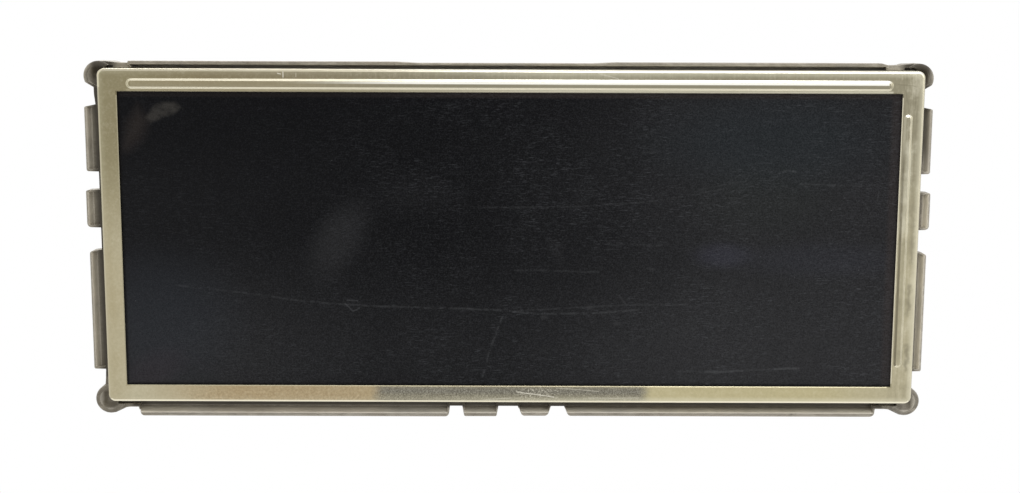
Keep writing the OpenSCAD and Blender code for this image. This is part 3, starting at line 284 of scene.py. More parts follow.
    def curve(self, vector, points, width):
        """A thin curved line through points from left to right, fading at both ends."""
        left, right = points[0][0], points[-1][0]
        low = min(z for _, z in points)
        rise = max(z for _, z in points) - low
        x, z = self.axis(vector, "X"), self.axis(vector, "Z")
        share = self.math("MULTIPLY", self.math("SUBTRACT", x, left), 1 / (right - left), clamp=True)
        node = self.tree.nodes.new("ShaderNodeFloatCurve")
        self.put(node.inputs["Value"], share)
        places = node.mapping.curves[0].points
        places[0].location = (0, (points[0][1] - low) / rise)
        places[1].location = (1, (points[-1][1] - low) / rise)
        for px, pz in points[1:-1]:
            places.new((px - left) / (right - left), (pz - low) / rise)
        node.mapping.update()
        height = self.plus(self.times(node.outputs[0], rise), low)
        off = self.math("ABSOLUTE", self.math("SUBTRACT", z, height))
        ends = self.times(self.band(x, left - FADE_OUT, left + FADE_IN),
                          self.band(x, right + FADE_OUT, right - FADE_IN))
        return self.times(self.band(off, width, width * LINE_CORE), ends)

    def lines(self, vector, width, many):
        """Thin lines as one mask: strokes of two points, curves of more."""
        total = 0.0
        for points in many:
            shape = self.stroke if len(points) == 2 else self.curve
            total = self.math("MAXIMUM", total, shape(vector, points, width))
        return total

    def normal(self):
        return self.tree.nodes.new("ShaderNodeNewGeometry").outputs["Normal"]

    def bevel(self, radius):
        """The normal as if the solid's sharp edges were rounded."""
        node = self.tree.nodes.new("ShaderNodeBevel")
        node.samples = BEVEL_SAMPLES
        node.inputs["Radius"].default_value = radius * MM
        return node.outputs[0]

    def edges(self, radius):
        """1 along the sharp edges of the solid, 0 on its faces."""
        return self.band(self.vector("DISTANCE", self.bevel(radius), self.normal()), *EDGE_APART)

    def bump(self, height, depth, strength, rounding=0.0):
        """A bump of a depth in millimetres; rounding softens the solid's sharp edges as well."""
        node = self.tree.nodes.new("ShaderNodeBump")
        node.inputs["Strength"].default_value = strength
        node.inputs["Distance"].default_value = depth * MM
        self.put(node.inputs["Height"], height)
        if rounding:
            self.put(node.inputs["Normal"], self.bevel(rounding))
        self.put(self.shader.inputs["Normal"], node.outputs[0])

    def on(self, *names):
        """Gives the finish to CAD nodes."""
        for name in names:
            mesh = NODES[name].data
            mesh.materials.clear()
            mesh.materials.append(self.material)


class FrontFinish(Finish):
    """A finish laid out from the window's middle, its colour built up in layers."""

    def __init__(self, name):
        super().__init__(name)
        self.at = self.flat(self.vector("SUBTRACT", self.place, tuple(WINDOW_MIDDLE)))
        self.x = self.axis(self.at, "X")
        self.z = self.axis(self.at, "Z")
        self.colour = None

    def lay(self, tone, *shares):
        """Covers the colour with a tone, as far as the product of the shares."""
        self.colour = self.mix(self.times(*shares), self.colour, tone)


# The bezel's plating along X, with painted reflection in its tones: above the window it is duller on
# the left, below the window it is tanned left of the middle, and between two heights the one goes
# over into the other
PLATING_AND_REFLECTION_ABOVE = [(-112, (142, 134, 104)), (-84, (132, 121, 93)), (-9, (138, 132, 111)),
                 (16, (157, 152, 131)), (60, (138, 132, 111)), (112, (147, 141, 119))]
PLATING_AND_REFLECTION_BELOW = [(-112, (173, 162, 130)), (-102, (186, 178, 150)), (-78, (168, 149, 115)),
                 (-46, (169, 151, 118)), (36, (187, 177, 139)), (85, (184, 174, 136)),
                 (107, (178, 170, 142))]
PLATING_HEIGHTS = (-10, 30)

# Below the window, the worn stretch and the tanned one to its left, with the tones of the
# worn one's upper and lower part from dark specks to light ones
WORN_SIDES = (-36.9, 38.0)
TANNED_SIDES = (-90, -36.5)
BELOW_WINDOW = (-60, -HALF_H + 0.5)
WORN_UPPER = [(0.36, (84, 81, 72)), (0.5, (120, 116, 104)), (0.64, (160, 157, 144))]
WORN_LOWER = [(0.36, (100, 95, 81)), (0.5, (134, 129, 111)), (0.64, (172, 167, 148))]
WORN_HEIGHTS = (-HALF_H - 1.6, -HALF_H - 3.0)

# The bead above the window: its middle from the window's edge, half its length, and the
# lower and upper edge of its crown
TOP_BEAD_OUT, TOP_BEAD_HALF_L = 2.1, 103.3
TOP_BEAD_Z = HALF_H + TOP_BEAD_OUT
TOP_CROWN = (TOP_BEAD_Z - 0.72, TOP_BEAD_Z + 0.75)
TOP_CROWN_END = TOP_BEAD_HALF_L - 1.3

# The bead at the right of the window: its sides and ends, its crown's sides, and the
# stretches of the crown that carry a streaky painted highlight and that are painted darker
RIGHT_BEAD_SIDES = (HALF_W + 0.2, HALF_W + 3.1)
RIGHT_BEAD_ENDS = (-36, 36)
RIGHT_CROWN_SIDES = (HALF_W + 0.9, HALF_W + 2.6)
HIGHLIGHT_ENDS = (3, 27)
DARKER_ENDS = (-34, 1)

# Dark smudges between that bead and the outline: lower end, upper end and distance out from
# the window of each
RIGHT_SMUDGES = ((-20.5, -11.5, 3.3), (-6.0, 10.5, 3.5), (-36.0, -28.0, 3.6))
SMUDGE_WIDTH = 1.1

# Painted highlights on slopes grow lighter from left to right between two places in X, turn from
# facing one way to the other between two values of their normal, and lie in the window's lip up to its width
RIGHT_PART = (-52, 14)
EITHER_WAY = (-0.05, 0.05)
LIP_WIDTH = 0.35

# Single lines on the bezel, from the window's middle
DEEP_LINES = [[(2.2, -42.2), (12.5, -43.6)], [(-61.0, 45.8), (-61.0, 44.4)], [(-62.4, 45.5), (-61.6, 45.3)]]
FAINT_LINES = [
    [(22.2, -43.85), (36.1, -43.8)], [(13.2, -41.0), (25.0, -42.0)], [(-7.3, -44.5), (1.0, -43.9)],
    [(24.5, -44.6), (31.5, -45.1)], [(-57.5, 45.6), (-57.5, 44.6)], [(23.7, 45.7), (29.2, 44.3)],
]
DARK_LINES = [[(104.4, 43.1), (109.3, 42.6)], [(109.3, 42.6), (109.3, 36.0)], [(106.5, 41.6), (107.3, 38.0)]]

# A chafed patch below the window: left, right, lower and upper edge
CHAFED_BOX = (2.0, 13.5, -44.0, -41.0)


class BezelPlate(FrontFinish):
    """Plated sheet steel: champagne with darker and tanned patches, worn grey below the middle, with painted
    reflection and highlights.
    """

    def plating(self):
        # Painted reflection: the tones along X paint the plating's reflections together with its own colour
        along = self.plus(self.x, self.swing(self.noise(0.09, 3), 12))
        above = self.tones(along, PLATING_AND_REFLECTION_ABOVE)
        below = self.tones(along, PLATING_AND_REFLECTION_BELOW)
        self.colour = self.mix(self.band(self.z, *PLATING_HEIGHTS), below, above)

    def right_patches(self):
        """Patches and upright bands down the right border, kept for the rubbing."""
        on_right = self.band(self.x, HALF_W - 4, HALF_W + 2)
        self.bands = self.noise(1.0, 3, 0.6, stretch=(1.1, 0.1, 0.10))
        spots = self.noise(0.16, 3, 0.6)
        self.right_tone = self.times(on_right, self.plus(self.swing(self.bands, 1.1), self.swing(spots, 1.6)))

    def worn_stretch(self):
        """Below the window: darker above, paler below, speckled all over."""
        sideways = self.swing(self.noise(0.5, 4, 0.6), 3)
        self.uneven = self.vector("ADD", self.at, self.vector("SCALE", (1, 0, 0), scale=sideways))
        self.worn = self.box(self.uneven, *WORN_SIDES, *BELOW_WINDOW, 2.0)
        self.speckle = self.noise(2.7, 5, 0.75)
        upper = self.tones(self.speckle, WORN_UPPER)
        lower = self.tones(self.speckle, WORN_LOWER)
        self.lay(self.mix(self.band(self.z, *WORN_HEIGHTS), upper, lower), self.worn)

    def tanned_stretch(self):
        """The plating left of the worn stretch is mottled light and dark."""
        tanned = self.box(self.uneven, *TANNED_SIDES, *BELOW_WINDOW, 6)
        freckles = self.noise(1.5, 4, 0.75)
        self.lay(linear(204, 184, 148), tanned, self.band(freckles, 0.50, 0.62), 0.45)
        self.lay(linear(140, 119, 86), tanned, self.band(freckles, 0.50, 0.38), 0.45)

    def rubbing(self):
        """Fine upright rubbing along the top border, grain and mottling everywhere."""
        upright = self.noise(1.0, 4, 0.7, stretch=(2.6, 0.4, 0.10))
        on_top = self.times(self.band(self.x, -60, -30), self.band(self.z, HALF_H + 3.4, HALF_H + 4.0))
        self.mottle = self.noise(0.45, 5, 0.65)
        self.grain = self.noise(1.3, 4, 0.75)
        tone = self.plus(self.times(self.swing(upright, 0.55), on_top), self.swing(self.mottle, 0.28),
                         self.swing(self.grain, 0.5), self.times(self.right_tone, 0.75))
        self.lay(linear(92, 84, 66), self.math("MULTIPLY", tone, -1.0, clamp=True))
        self.lay(linear(232, 226, 204), self.math("MULTIPLY", tone, 1.0, clamp=True))

    def past_outline(self):
        """How far a place lies out past the bezel's outline, less than 0 inside it."""
        beyond = None
        for distance in (self.math("SUBTRACT", self.x, BEZEL_HIGH.x - WINDOW_MIDDLE.x),
                         self.math("SUBTRACT", BEZEL_LOW.x - WINDOW_MIDDLE.x, self.x),
                         self.math("SUBTRACT", self.z, BEZEL_HIGH.z - WINDOW_MIDDLE.z),
                         self.math("SUBTRACT", BEZEL_LOW.z - WINDOW_MIDDLE.z, self.z)):
            beyond = distance if beyond is None else self.math("MAXIMUM", beyond, distance)
        return beyond

    def painted_outline_sheen(self):
        """Painted sheen: the face is painted paler along its outline, most of all on the right."""
        self.out = self.past_outline()
        sheen_near_outline = self.band(self.out, -2.2, -0.7)
        self.lay(linear(225, 220, 195), sheen_near_outline, self.band(self.x, -40, 20, 0.10, 0.40))

    def slope_highlight_above(self):
        """Painted highlights on slopes that face up, on the fold and on the beads inside it, lighter on the
        right.
        """
        fold = self.mix(self.right_part, linear(184, 177, 156), linear(240, 236, 222))
        bead = self.mix(self.right_part, linear(232, 225, 202), linear(252, 249, 238))
        return self.mix(self.band(self.out, -1.4, -1.6), fold, bead)

    def slope_light_and_shade_aside(self):
        """Painted highlight and shade on slopes that face left or right; on the right bead the left-facing
        slope is painted in shade except near its top, the right-facing one light.
        """
        on_right_bead = self.box(self.at, *RIGHT_BEAD_SIDES, *RIGHT_BEAD_ENDS, 0.05)
        beside = self.mix(self.band(self.z, 20, 29), linear(118, 111, 90), linear(180, 174, 151))
        leftward = self.mix(on_right_bead, linear(192, 184, 156), beside)
        rightward = self.mix(on_right_bead, linear(208, 201, 176), linear(230, 224, 200))
        return self.mix(self.band(self.across, *EITHER_WAY), leftward, rightward)

    def window_lip_highlight(self):
        """Painted highlight on the window's lip: light on the right and dull elsewhere."""
        lip = self.mix(self.band(self.x, HALF_W - 1, HALF_W), linear(166, 158, 132), linear(236, 228, 202))
        return self.mix(self.band(self.z, -HALF_H + 1, -HALF_H), lip, linear(170, 162, 136))

    def slopes(self):
        """Painted highlights and shade: fold, beads and lip are painted as catching the light on their
        slopes, each side by its own amount.
        """
        normal = self.normal()
        to_front = self.times(self.axis(normal, "Y"), -1.0)
        turned = self.times(self.band(to_front, 0.985, 0.90), self.band(to_front, 0.15, 0.5))
        self.across = self.axis(normal, "X")
        upward = self.axis(normal, "Z")
        self.right_part = self.band(self.x, *RIGHT_PART)
        updown = self.mix(self.band(upward, *EITHER_WAY), linear(254, 247, 222), self.slope_highlight_above())
        steep = self.math("SUBTRACT", self.math("ABSOLUTE", upward), self.math("ABSOLUTE", self.across))
        slope = self.mix(self.band(steep, -0.08, 0.08), self.slope_light_and_shade_aside(), updown)
        in_lip = self.box(self.at, -HALF_W - LIP_WIDTH, HALF_W + LIP_WIDTH,
                          -HALF_H - LIP_WIDTH, HALF_H + LIP_WIDTH, 0.03)
        self.lay(self.mix(in_lip, slope, self.window_lip_highlight()), turned, 0.9)

    def top_bead(self):
        """Painted highlight and shade: the upper half of the top bead's crown is painted shining, the lower
        half in shade, and the strip below it lighter towards the right.
        """
        crown = self.box(self.at, -TOP_CROWN_END, TOP_CROWN_END, *TOP_CROWN, 0.05)
        under = self.box(self.at, -TOP_BEAD_HALF_L, TOP_BEAD_HALF_L, HALF_H - 0.1, TOP_BEAD_Z - 1.5, 0.25)
        upper = self.band(self.z, TOP_BEAD_Z, TOP_BEAD_Z + 0.3)
        lower = self.band(self.z, TOP_BEAD_Z + 0.1, TOP_BEAD_Z - 0.2)
        self.lay(self.mix(self.right_part, linear(174, 165, 136), linear(222, 216, 194)), under, 0.6)
        self.lay(linear(252, 250, 240), crown, upper, self.band(self.x, -66, -20))
        self.lay(linear(138, 132, 112), crown, lower, self.band(self.x, -60, 0, 0.25, 0.8))
        self.lay(linear(168, 158, 130), crown, self.band(self.x, -30, -60), 0.35)

    def top_bead_end(self):
        """Painted highlight: the left end of the top bead is painted light where it faces left."""
        left_end_highlight = self.times(self.band(self.x, -100, -101.5), self.band(self.across, -0.05, -0.3))
        self.lay(linear(226, 219, 190), left_end_highlight, self.band(self.z, HALF_H + 1, HALF_H + 1.3), 0.7)

    def right_border(self):
        """The right bead's crown carries a streaky painted highlight above and is darker below, with smudges
        beside it.
        """
        streaky = self.band(self.bands, 0.3, 0.62, 0.25, 1.0)
        # Painted highlight: the upper stretch of the crown is painted light in streaks, the lower one darker
        rubbed = self.box(self.uneven, *RIGHT_CROWN_SIDES, *HIGHLIGHT_ENDS, 1.2)
        self.lay(linear(208, 204, 184), rubbed, streaky, 0.4)
        dull = self.box(self.uneven, *RIGHT_CROWN_SIDES, *DARKER_ENDS, 1.2)
        self.lay(linear(146, 140, 118), dull, 0.4)
        smudge = 0.0
        for low, high, out in RIGHT_SMUDGES:
            left = HALF_W + out
            mark = self.box(self.uneven, left, left + SMUDGE_WIDTH, low, high, 0.6)
            smudge = self.math("MAXIMUM", smudge, mark)
        self.lay(linear(104, 99, 83), smudge, streaky, 0.5)

    def scratches(self):
        """Single lines, and light specks in the chafed patch round the deepest one."""
        shaken = self.shaken(self.at, 0.6, 0.25)
        deep = self.lines(shaken, 0.17, DEEP_LINES)
        faint = self.lines(shaken, 0.13, FAINT_LINES)
        chafed = self.times(self.box(self.at, *CHAFED_BOX, 0.8), self.band(self.speckle, 0.54, 0.60), 1.5)
        dark = self.lines(shaken, 0.2, DARK_LINES)
        self.lay(linear(226, 221, 206), deep, 0.8)
        self.lay(linear(216, 211, 194), self.math("MAXIMUM", faint, chafed), 0.5)
        self.lay(linear(108, 101, 82), dark, 0.3)

    def surface(self):
        rough = self.plus(self.times(self.mottle, 0.16), self.times(self.grain, 0.12),
                          self.times(self.worn, 0.14), 0.20)
        self.set(Base_Color=self.colour, Metallic=0.85, Roughness=rough)
        self.bump(self.plus(self.times(self.mottle, 1.4), self.times(self.grain, 0.5)), 0.02, 0.4)


def bezel_finish():
    f = BezelPlate("bezel_plate")
    f.plating()
    f.right_patches()
    f.worn_stretch()
    f.tanned_stretch()
    f.rubbing()
    f.painted_outline_sheen()
    f.slopes()
    f.top_bead()
    f.top_bead_end()
    f.right_border()
    f.scratches()
    f.surface()
    f.on("front_bezel")


# Levels of grey on the film along X at three heights, and the heights between which each
# goes over into the next: it is darkest left of the middle and paler on the right and in its
# lower corners
FILM_TOP = [(-106, 26), (-20, 24), (14, 27), (49, 37)]
FILM_MIDDLE = [(-106, 31), (-20, 24), (32, 32), (62, 41)]
FILM_FOOT = [(-106, 46), (-37, 34), (-4, 34), (49, 46)]
TOP_TO_MIDDLE = (36, 8)
MIDDLE_TO_FOOT = (4, -33)

# Hazes and tinted patches on the film: middle, radii, turn in degrees, share and tone
HAZES = [
    ((-47, 0), (17, 9), 58, 0.6, film_tone(45)),
    ((-25, 13), (16, 8), 0, 0.2, film_tone(42)),
    ((-98, -36), (13, 7), 28, 0.35, linear(52, 44, 48)),
    ((-96, -22), (30, 26), 0, 0.35, linear(38, 42, 48)),
    ((58.4, -3.8), (11, 5), 0, 0.5, linear(49, 49, 58)),
    ((86, -5), (34, 7), 0, 0.3, linear(46, 47, 54)),
    ((70, 12), (26, 14), 0, 0.2, linear(37, 42, 38)),
    ((72, 28), (46, 18), 0, 0.55, linear(33, 38, 41)),
    ((13.0, -2.5), (5, 2.6), -60, 0.3, film_tone(44)),
    ((19.5, 13), (4, 5), 0, 0.25, film_tone(40)),
]

# Outlines of the residue in the upper left corner and of the brown patch beside it, clockwise
RESIDUE = [(-98.4, 33.5), (-96.2, 36.2), (-94.0, 37.6), (-90.2, 37.3), (-88.8, 36.0), (-90.7, 34.7),
           (-97.0, 32.4)]
BROWN_PATCH = [(-100.7, 35.9), (-97.9, 32.7), (-100.2, 27.3), (-104.1, 24.6), (-105.2, 25.1), (-103.3, 32.2)]

# Directions of the wipe marks in degrees, each with its weight
WIPE_TURNS = ((3, 1.0), (-12, 0.8), (20, 0.7), (70, 0.5))

# Single scratches on the film, from the window's middle, and small chafed spots
SCRATCH_TONE = linear(128, 130, 132)
CLEAR_SCRATCHES = [
    [(-92, -12.6), (-74, -14.5), (-57.7, -16.7), (-41.2, -18.0), (-5.3, -19.2), (9.9, -20.2), (36.1, -19.1)],
    [(-1.8, -20.8), (-5.1, -29.9)], [(-5.1, -29.9), (-7.3, -38.2)],
    [(54.4, -36.6), (64.8, -36.2)], [(73.8, -35.7), (80.4, -35.4)],
    [(72.7, 17.5), (75, 19.4), (78.5, 19.1)],
]
SMALL_SCRATCHES = [
    [(-45.3, -17.5), (-43.1, -19.7)], [(-43.1, -19.7), (-41.2, -18.8)], [(-44.7, -16.6), (-41.7, -16.7)],
]
FAINT_SCRATCHES = [
    [(1.6, -19.5), (22.2, -18.3), (36, -17.7), (49.8, -17.6)],
    [(46.6, -36.4), (53.6, -36.6)], [(65.2, -36), (73.8, -35.7)], [(30.2, -15.1), (32.2, -17.8)],
    [(-8.1, 9.3), (13.7, 9.5), (27.9, 10.3), (38.5, 11.1), (46.8, 12.4), (58.6, 14.5)],
    [(51.5, 14.2), (64.4, 16.8)], [(79.2, 16), (96.4, 15.5)], [(97.2, 10.5), (99, 6.9)],
    [(100.6, 14), (100.4, 11.6)], [(35.9, 24.3), (39.4, 24.4)], [(27.2, -0.5), (41.8, -1.1)],
    [(1.5, -8.1), (24.6, -8.5)], [(38, -7.4), (40.4, -7.9)], [(49.1, -8.9), (51.4, -9.2)],
]
CHAFED_SPOTS = ((22.2, -18.5), (9.6, -21.2), (29.7, -23))
CHAFED_RADII = (1.6, 0.9)


class ScreenFilm(FrontFinish):
    """The black display film, wiped and scratched, with residue in one corner."""

    def ground(self):
        along = self.plus(self.x, self.swing(self.noise(0.035, 3, 0.55), 30))
        top, middle, foot = [self.ramp(along, [(at, film_tone(level)) for at, level in row])
                             for row in (FILM_TOP, FILM_MIDDLE, FILM_FOOT)]
        self.colour = self.mix(self.band(self.z, *TOP_TO_MIDDLE), top, middle)
        self.lay(foot, self.band(self.z, *MIDDLE_TO_FOOT))

    def hazes(self):
        for middle, radii, turn, share, tone in HAZES:
            self.lay(tone, self.blob(self.at, middle, radii, turn), share)

    def residue(self):
        ragged = self.shaken(self.at, 0.5, 0.9)
        self.lay(linear(52, 46, 42), self.patch(ragged, BROWN_PATCH, 2.4), 0.4)
        thick = self.band(self.noise(0.6, 4), 0.25, 0.65, 0.45, 1.0)
        self.lay(linear(51, 49, 46), self.patch(ragged, RESIDUE, 0.8), thick, 0.85)

    def rims(self):
        """Tinted along the window's upper and right edges, with painted shadow beside its left and lower
        ones.
        """
        from_top = self.math("SUBTRACT", HALF_H, self.z)
        from_right = self.math("SUBTRACT", HALF_W, self.x)
        self.lay(linear(46, 40, 38), self.band(from_top, 1.9, 0.9), self.band(self.x, -60, 20, 0.3, 0.75))
        self.lay(linear(48, 43, 42), self.band(from_right, 3.4, 1.6), 0.6)
        edge_shadow = self.math("MAXIMUM", self.band(self.plus(self.x, HALF_W), 0.9, 0.2),
                              self.band(self.plus(self.z, HALF_H), 0.9, 0.2))
        self.lay(linear(12, 11, 9), edge_shadow, 0.7)

    def grain(self):
        """A fine grain, weaker at the upper left."""
        self.strength = self.band(self.math("SUBTRACT", self.x, self.z), -110, -20, 0.5, 1.0)
        self.fine = self.noise(2.5, 3, 0.75)
        self.lay(linear(128, 130, 134), self.band(self.fine, 0.42, 0.74), self.strength, 0.055)
        self.lay(linear(11, 11, 12), self.band(self.fine, 0.52, 0.30), self.strength, 0.45)

    def wipe_marks(self):
        """Short marks in several directions, stronger in patches and towards the right."""
        wipe = 0.0
        for turn, weight in WIPE_TURNS:
            marks = self.noise(1.0, 2, 0.6, stretch=(0.45, 0.1, 3.0), turn=turn)
            wipe = self.math("MAXIMUM", wipe, self.times(self.band(marks, 0.60, 0.74), weight))
        patchy = self.band(self.noise(0.045, 3, 0.6), 0.40, 0.60, 0.3, 1.0)
        rightward = self.band(self.x, -60, -10, 0.07, 0.11)
        self.lay(linear(128, 131, 136), wipe, self.strength, patchy, rightward)

    def scratches(self):
        """Single scratches, broken in places, the clear ones stronger on the right."""
        shaken = self.shaken(self.at, 0.25, 0.5)
        broken = self.band(self.noise(0.8, 3, 0.6), 0.36, 0.56, 0.12, 1.0)
        self.clear = self.lines(shaken, 0.42, CLEAR_SCRATCHES)
        share = self.plus(self.band(self.x, -90, 0, 0.045, 0.068), self.band(self.x, 40, 60, 0.0, 0.03))
        self.lay(SCRATCH_TONE, self.clear, broken, share)
        self.lay(SCRATCH_TONE, self.lines(shaken, 0.28, SMALL_SCRATCHES), 0.08)
        self.lay(SCRATCH_TONE, self.lines(shaken, 0.36, FAINT_SCRATCHES), broken, 0.042)
        for middle in CHAFED_SPOTS:
            self.lay(film_tone(70), self.blob(self.at, middle, CHAFED_RADII), 0.25)

    def dust(self):
        """A few large specks and more small ones."""
        self.lay(linear(150, 152, 152), self.specks(0.22, 0.16, 0.4, self.at), 0.16)
        self.lay(linear(130, 132, 134), self.specks(0.7, 0.09, 0.35, self.at), 0.12)

    def surface(self):
        self.set(Base_Color=self.colour, IOR=1.45, Specular_IOR_Level=0.05,
                 Roughness=self.plus(0.18, self.times(self.clear, 0.3)))
        self.bump(self.times(self.fine, -1.0), 0.004, 0.3)


def screen_finish():
    f = ScreenFilm("screen_film")
    f.ground()
    f.hazes()
    f.residue()
    f.rims()
    f.grain()
    f.wipe_marks()
    f.scratches()
    f.dust()
    f.surface()
    f.on("front_polarizer")


# The casting's tones along its flow marks
CAST_GREY = (142, 136, 124)
CAST_TONES = [(0.28, (114, 108, 97)), (0.5, CAST_GREY), (0.72, (172, 165, 152))]

# Places on the casting, each as the start and end of a soft step in the row frame. In Y, its
# front, and the stretch behind it where its flow marks grow calmer
CAST_FRONT = (-14.8, -15.2)
CALMER = (-13, -9)

# Out from the middle, the slopes of its lips at the sides and at the foot, which carry painted
# highlights, and the shade in the channels between the lips and the bezel, at the upper right,
# elsewhere and at the foot
SIDE_LIP = (CORNER_HOLE.x + 1.6, CORNER_HOLE.x + 2.6)
FOOT_LIP = (47.6, 48.4)
WIDE_SHADE = (CORNER_HOLE.x + 4.4, CORNER_HOLE.x + 2.2)
NARROW_SHADE = (CORNER_HOLE.x + 3.5, CORNER_HOLE.x + 0.9)
FOOT_SHADE = (47.9, 47.0)

# About a corner hole, the edge of the lobe's dish and of the lobe
DISH_EDGE = (3.9, 3.0)
LOBE_EDGE = (7.2, 5.6)

# From the left of the middle to the right of it, and down past the middle
LEFT_TO_RIGHT = (-20, 20)
LOWER_HALF = (0, 20)


class CastMetal(FrontFinish):
    """Raw die-cast alloy: grey-brown, grainy, with flow marks, rubbed edges, painted highlights on its lips
    and dark channels of painted shade.
    """

    def skin(self):
        """Flow marks and grain, calmer behind the front and browner in clouds and on the left."""
        cloud = self.noise(0.05, 4, 0.6)
        self.flow = self.noise(0.3, 5, 0.65, stretch=(0.35, 1, 1), warp=1.5)
        self.grain = self.noise(2.2, 4, 0.7)
        self.colour = self.tones(self.flow, CAST_TONES)
        self.lay(linear(*CAST_GREY), self.band(self.axis(self.place, "Y"), *CALMER, 0.0, 0.5))
        self.lay(linear(126, 112, 93), self.band(cloud, 0.4, 0.65), 0.35)
        self.lay(linear(116, 108, 86), self.band(self.x, -92, -112), 0.45)
        self.lay(linear(186, 180, 168), self.band(self.grain, 0.35, 0.7), 0.25)

    def pits_wear_and_highlight(self):
        """Dark pits, and edges rubbed light, with a painted highlight that makes them lightest where they
        face up.
        """
        self.pits = self.specks(0.8, 0.22, 0.25)
        self.lay(linear(70, 64, 56), self.pits, 0.5)
        rubbed = self.band(self.noise(0.7, 4, 0.7), 0.3, 0.6, 0.35, 1.0)
        upward = self.band(self.axis(self.normal(), "Z"), 0.1, 0.7, 0.65, 1.0)
        self.lay(linear(212, 205, 190), self.edges(0.35), rubbed, upward)

    def places(self):
        """What the lips and channels are placed by."""
        self.facing = self.normal()
        self.on_front = self.band(self.axis(self.place, "Y"), *CAST_FRONT)
        self.at_side = self.math("ABSOLUTE", self.axis(self.place, "X"))
        self.at_foot = self.times(self.axis(self.place, "Z"), -1.0)

    def lip_highlights(self):
        """Painted highlight: the lips' inner slopes are painted light, in patches, the side ones more so on
        the right.
        """
        outward = self.times(self.axis(self.facing, "X"), self.math("SIGN", self.x))
        side = self.times(self.band(outward, -0.2, -0.5), self.band(self.at_side, *SIDE_LIP))
        upward = self.axis(self.facing, "Z")
        foot = self.times(self.band(upward, 0.2, 0.5), self.band(self.at_foot, *FOOT_LIP))
        light_patches = self.swing(self.noise(0.10, 4, 0.6, stretch=(1, 1, 1.6)), 0.9)
        side_light = self.math("ADD", self.band(self.x, *LEFT_TO_RIGHT, 0.6, 0.9), light_patches, clamp=True)
        foot_light = self.math("ADD", light_patches, 0.8, clamp=True)
        self.lay(linear(232, 225, 210), side, self.on_front, side_light)
        self.lay(linear(246, 240, 226), foot, self.on_front, foot_light)

    def channel_shade(self):
        """Shade in the channels beside and below the bezel, wider at the upper right."""
        wide = self.band(self.at_side, *WIDE_SHADE)
        narrow = self.band(self.at_side, *NARROW_SHADE)
        upper_right = self.times(self.band(self.x, *LEFT_TO_RIGHT), self.band(self.z, 18, 27))
        side = self.times(self.mix(upper_right, narrow, wide), self.band(self.at_side, HALF_W, HALF_W + 3))
        foot = self.times(self.band(self.at_foot, *FOOT_SHADE), self.band(self.at_foot, 40, 43))
        return self.math("MAXIMUM", side, foot)

    def from_hole(self):
        """Distance from the nearest corner hole's axis."""
        across = self.math("SUBTRACT", self.at_side, CORNER_HOLE.x)
        above = self.math("SUBTRACT", self.math("ABSOLUTE", self.at_foot), CORNER_HOLE.z)
        return self.math("SQRT", self.plus(self.times(across, across), self.times(above, above)))

    def shade(self):
        """Dark channels and dishes, paler on the lower lobes, only where the metal faces front."""
        from_hole = self.from_hole()
        dish = self.times(self.band(from_hole, *DISH_EDGE), self.band(self.at_foot, *LOWER_HALF, 0.7, 0.35))
        shade = self.math("MAXIMUM", self.channel_shade(), dish)
        foot_lobe = self.times(self.band(from_hole, *LOBE_EDGE), self.band(self.at_foot, *LOWER_HALF))
        shade = self.times(shade, self.band(foot_lobe, 0, 1, 1.0, 0.45))
        faces_front = self.band(self.axis(self.facing, "Y"), -0.15, -0.45)
        self.lay(linear(50, 44, 33), shade, self.on_front, faces_front, 0.9)

    def surface(self):
        self.set(Base_Color=self.colour, Metallic=0.35,
                 Roughness=self.plus(0.42, self.times(self.grain, 0.28)))
        height = self.plus(self.times(self.flow, 1.2), self.times(self.grain, 0.5))
        self.bump(self.math("SUBTRACT", height, self.times(self.pits, 0.8)), 0.12, 0.45, rounding=0.25)


def casting_finish():
    f = CastMetal("cast_metal")
    f.skin()
    f.pits_wear_and_highlight()
    f.places()
    f.lip_highlights()
    f.shade()
    f.surface()
    f.on("housing")


def lighter(tone, amount):
    """An sRGB tone raised by an amount, as a linear colour."""
    return linear(*[min(255, c + amount) for c in tone])


def plain_finish(name, nodes, tone, second, rough=0.5, metal=0.0, grain=1.6, depth=0.02,
                 stretch=(1, 1, 1), wear=0.0, extra=None):
    """A moulded, pressed or coated surface: two tones in patches, a fine grain and lighter edges."""
    f = Finish(name)
    patches = f.noise(0.12, 4, 0.6)
    fine = f.noise(grain, 4, 0.65, stretch=stretch)
    base = f.mix(f.band(patches, 0.35, 0.65), linear(*tone), linear(*second))
    base = f.mix(f.times(f.band(fine, 0.45, 0.75), 0.25), base, lighter(second, GRAIN_LIGHTER))
    if wear:
        base = f.mix(f.times(f.edges(0.2), wear), base, lighter(second, EDGE_LIGHTER))
    if extra:
        base = extra(f, base)
    f.set(Base_Color=base, Metallic=metal, Roughness=f.plus(rough - 0.08, f.times(fine, 0.16)))
    f.bump(fine, depth, 0.5, rounding=0.12)
    f.on(*nodes)


# Copper runs on a board: how many to the millimetre, and the share that shows
RUNS_PER_MM, RUN_SHARE = 0.22, 0.06


def board_marks(f, base):
    """Copper runs under green lacquer and bare pads."""
    runs = f.tree.nodes.new("ShaderNodeTexBrick")
    f.put(runs.inputs["Vector"], f.stretched((1, 1, 1)))
    runs.inputs["Scale"].default_value = RUNS_PER_MM
    runs.inputs["Mortar Size"].default_value = RUN_SHARE
    base = f.mix(f.times(runs.outputs["Fac"], 0.35), base, linear(30, 84, 52))
    return f.mix(f.times(f.specks(0.4, 0.35, 0.5), 0.9), base, linear(196, 190, 160))


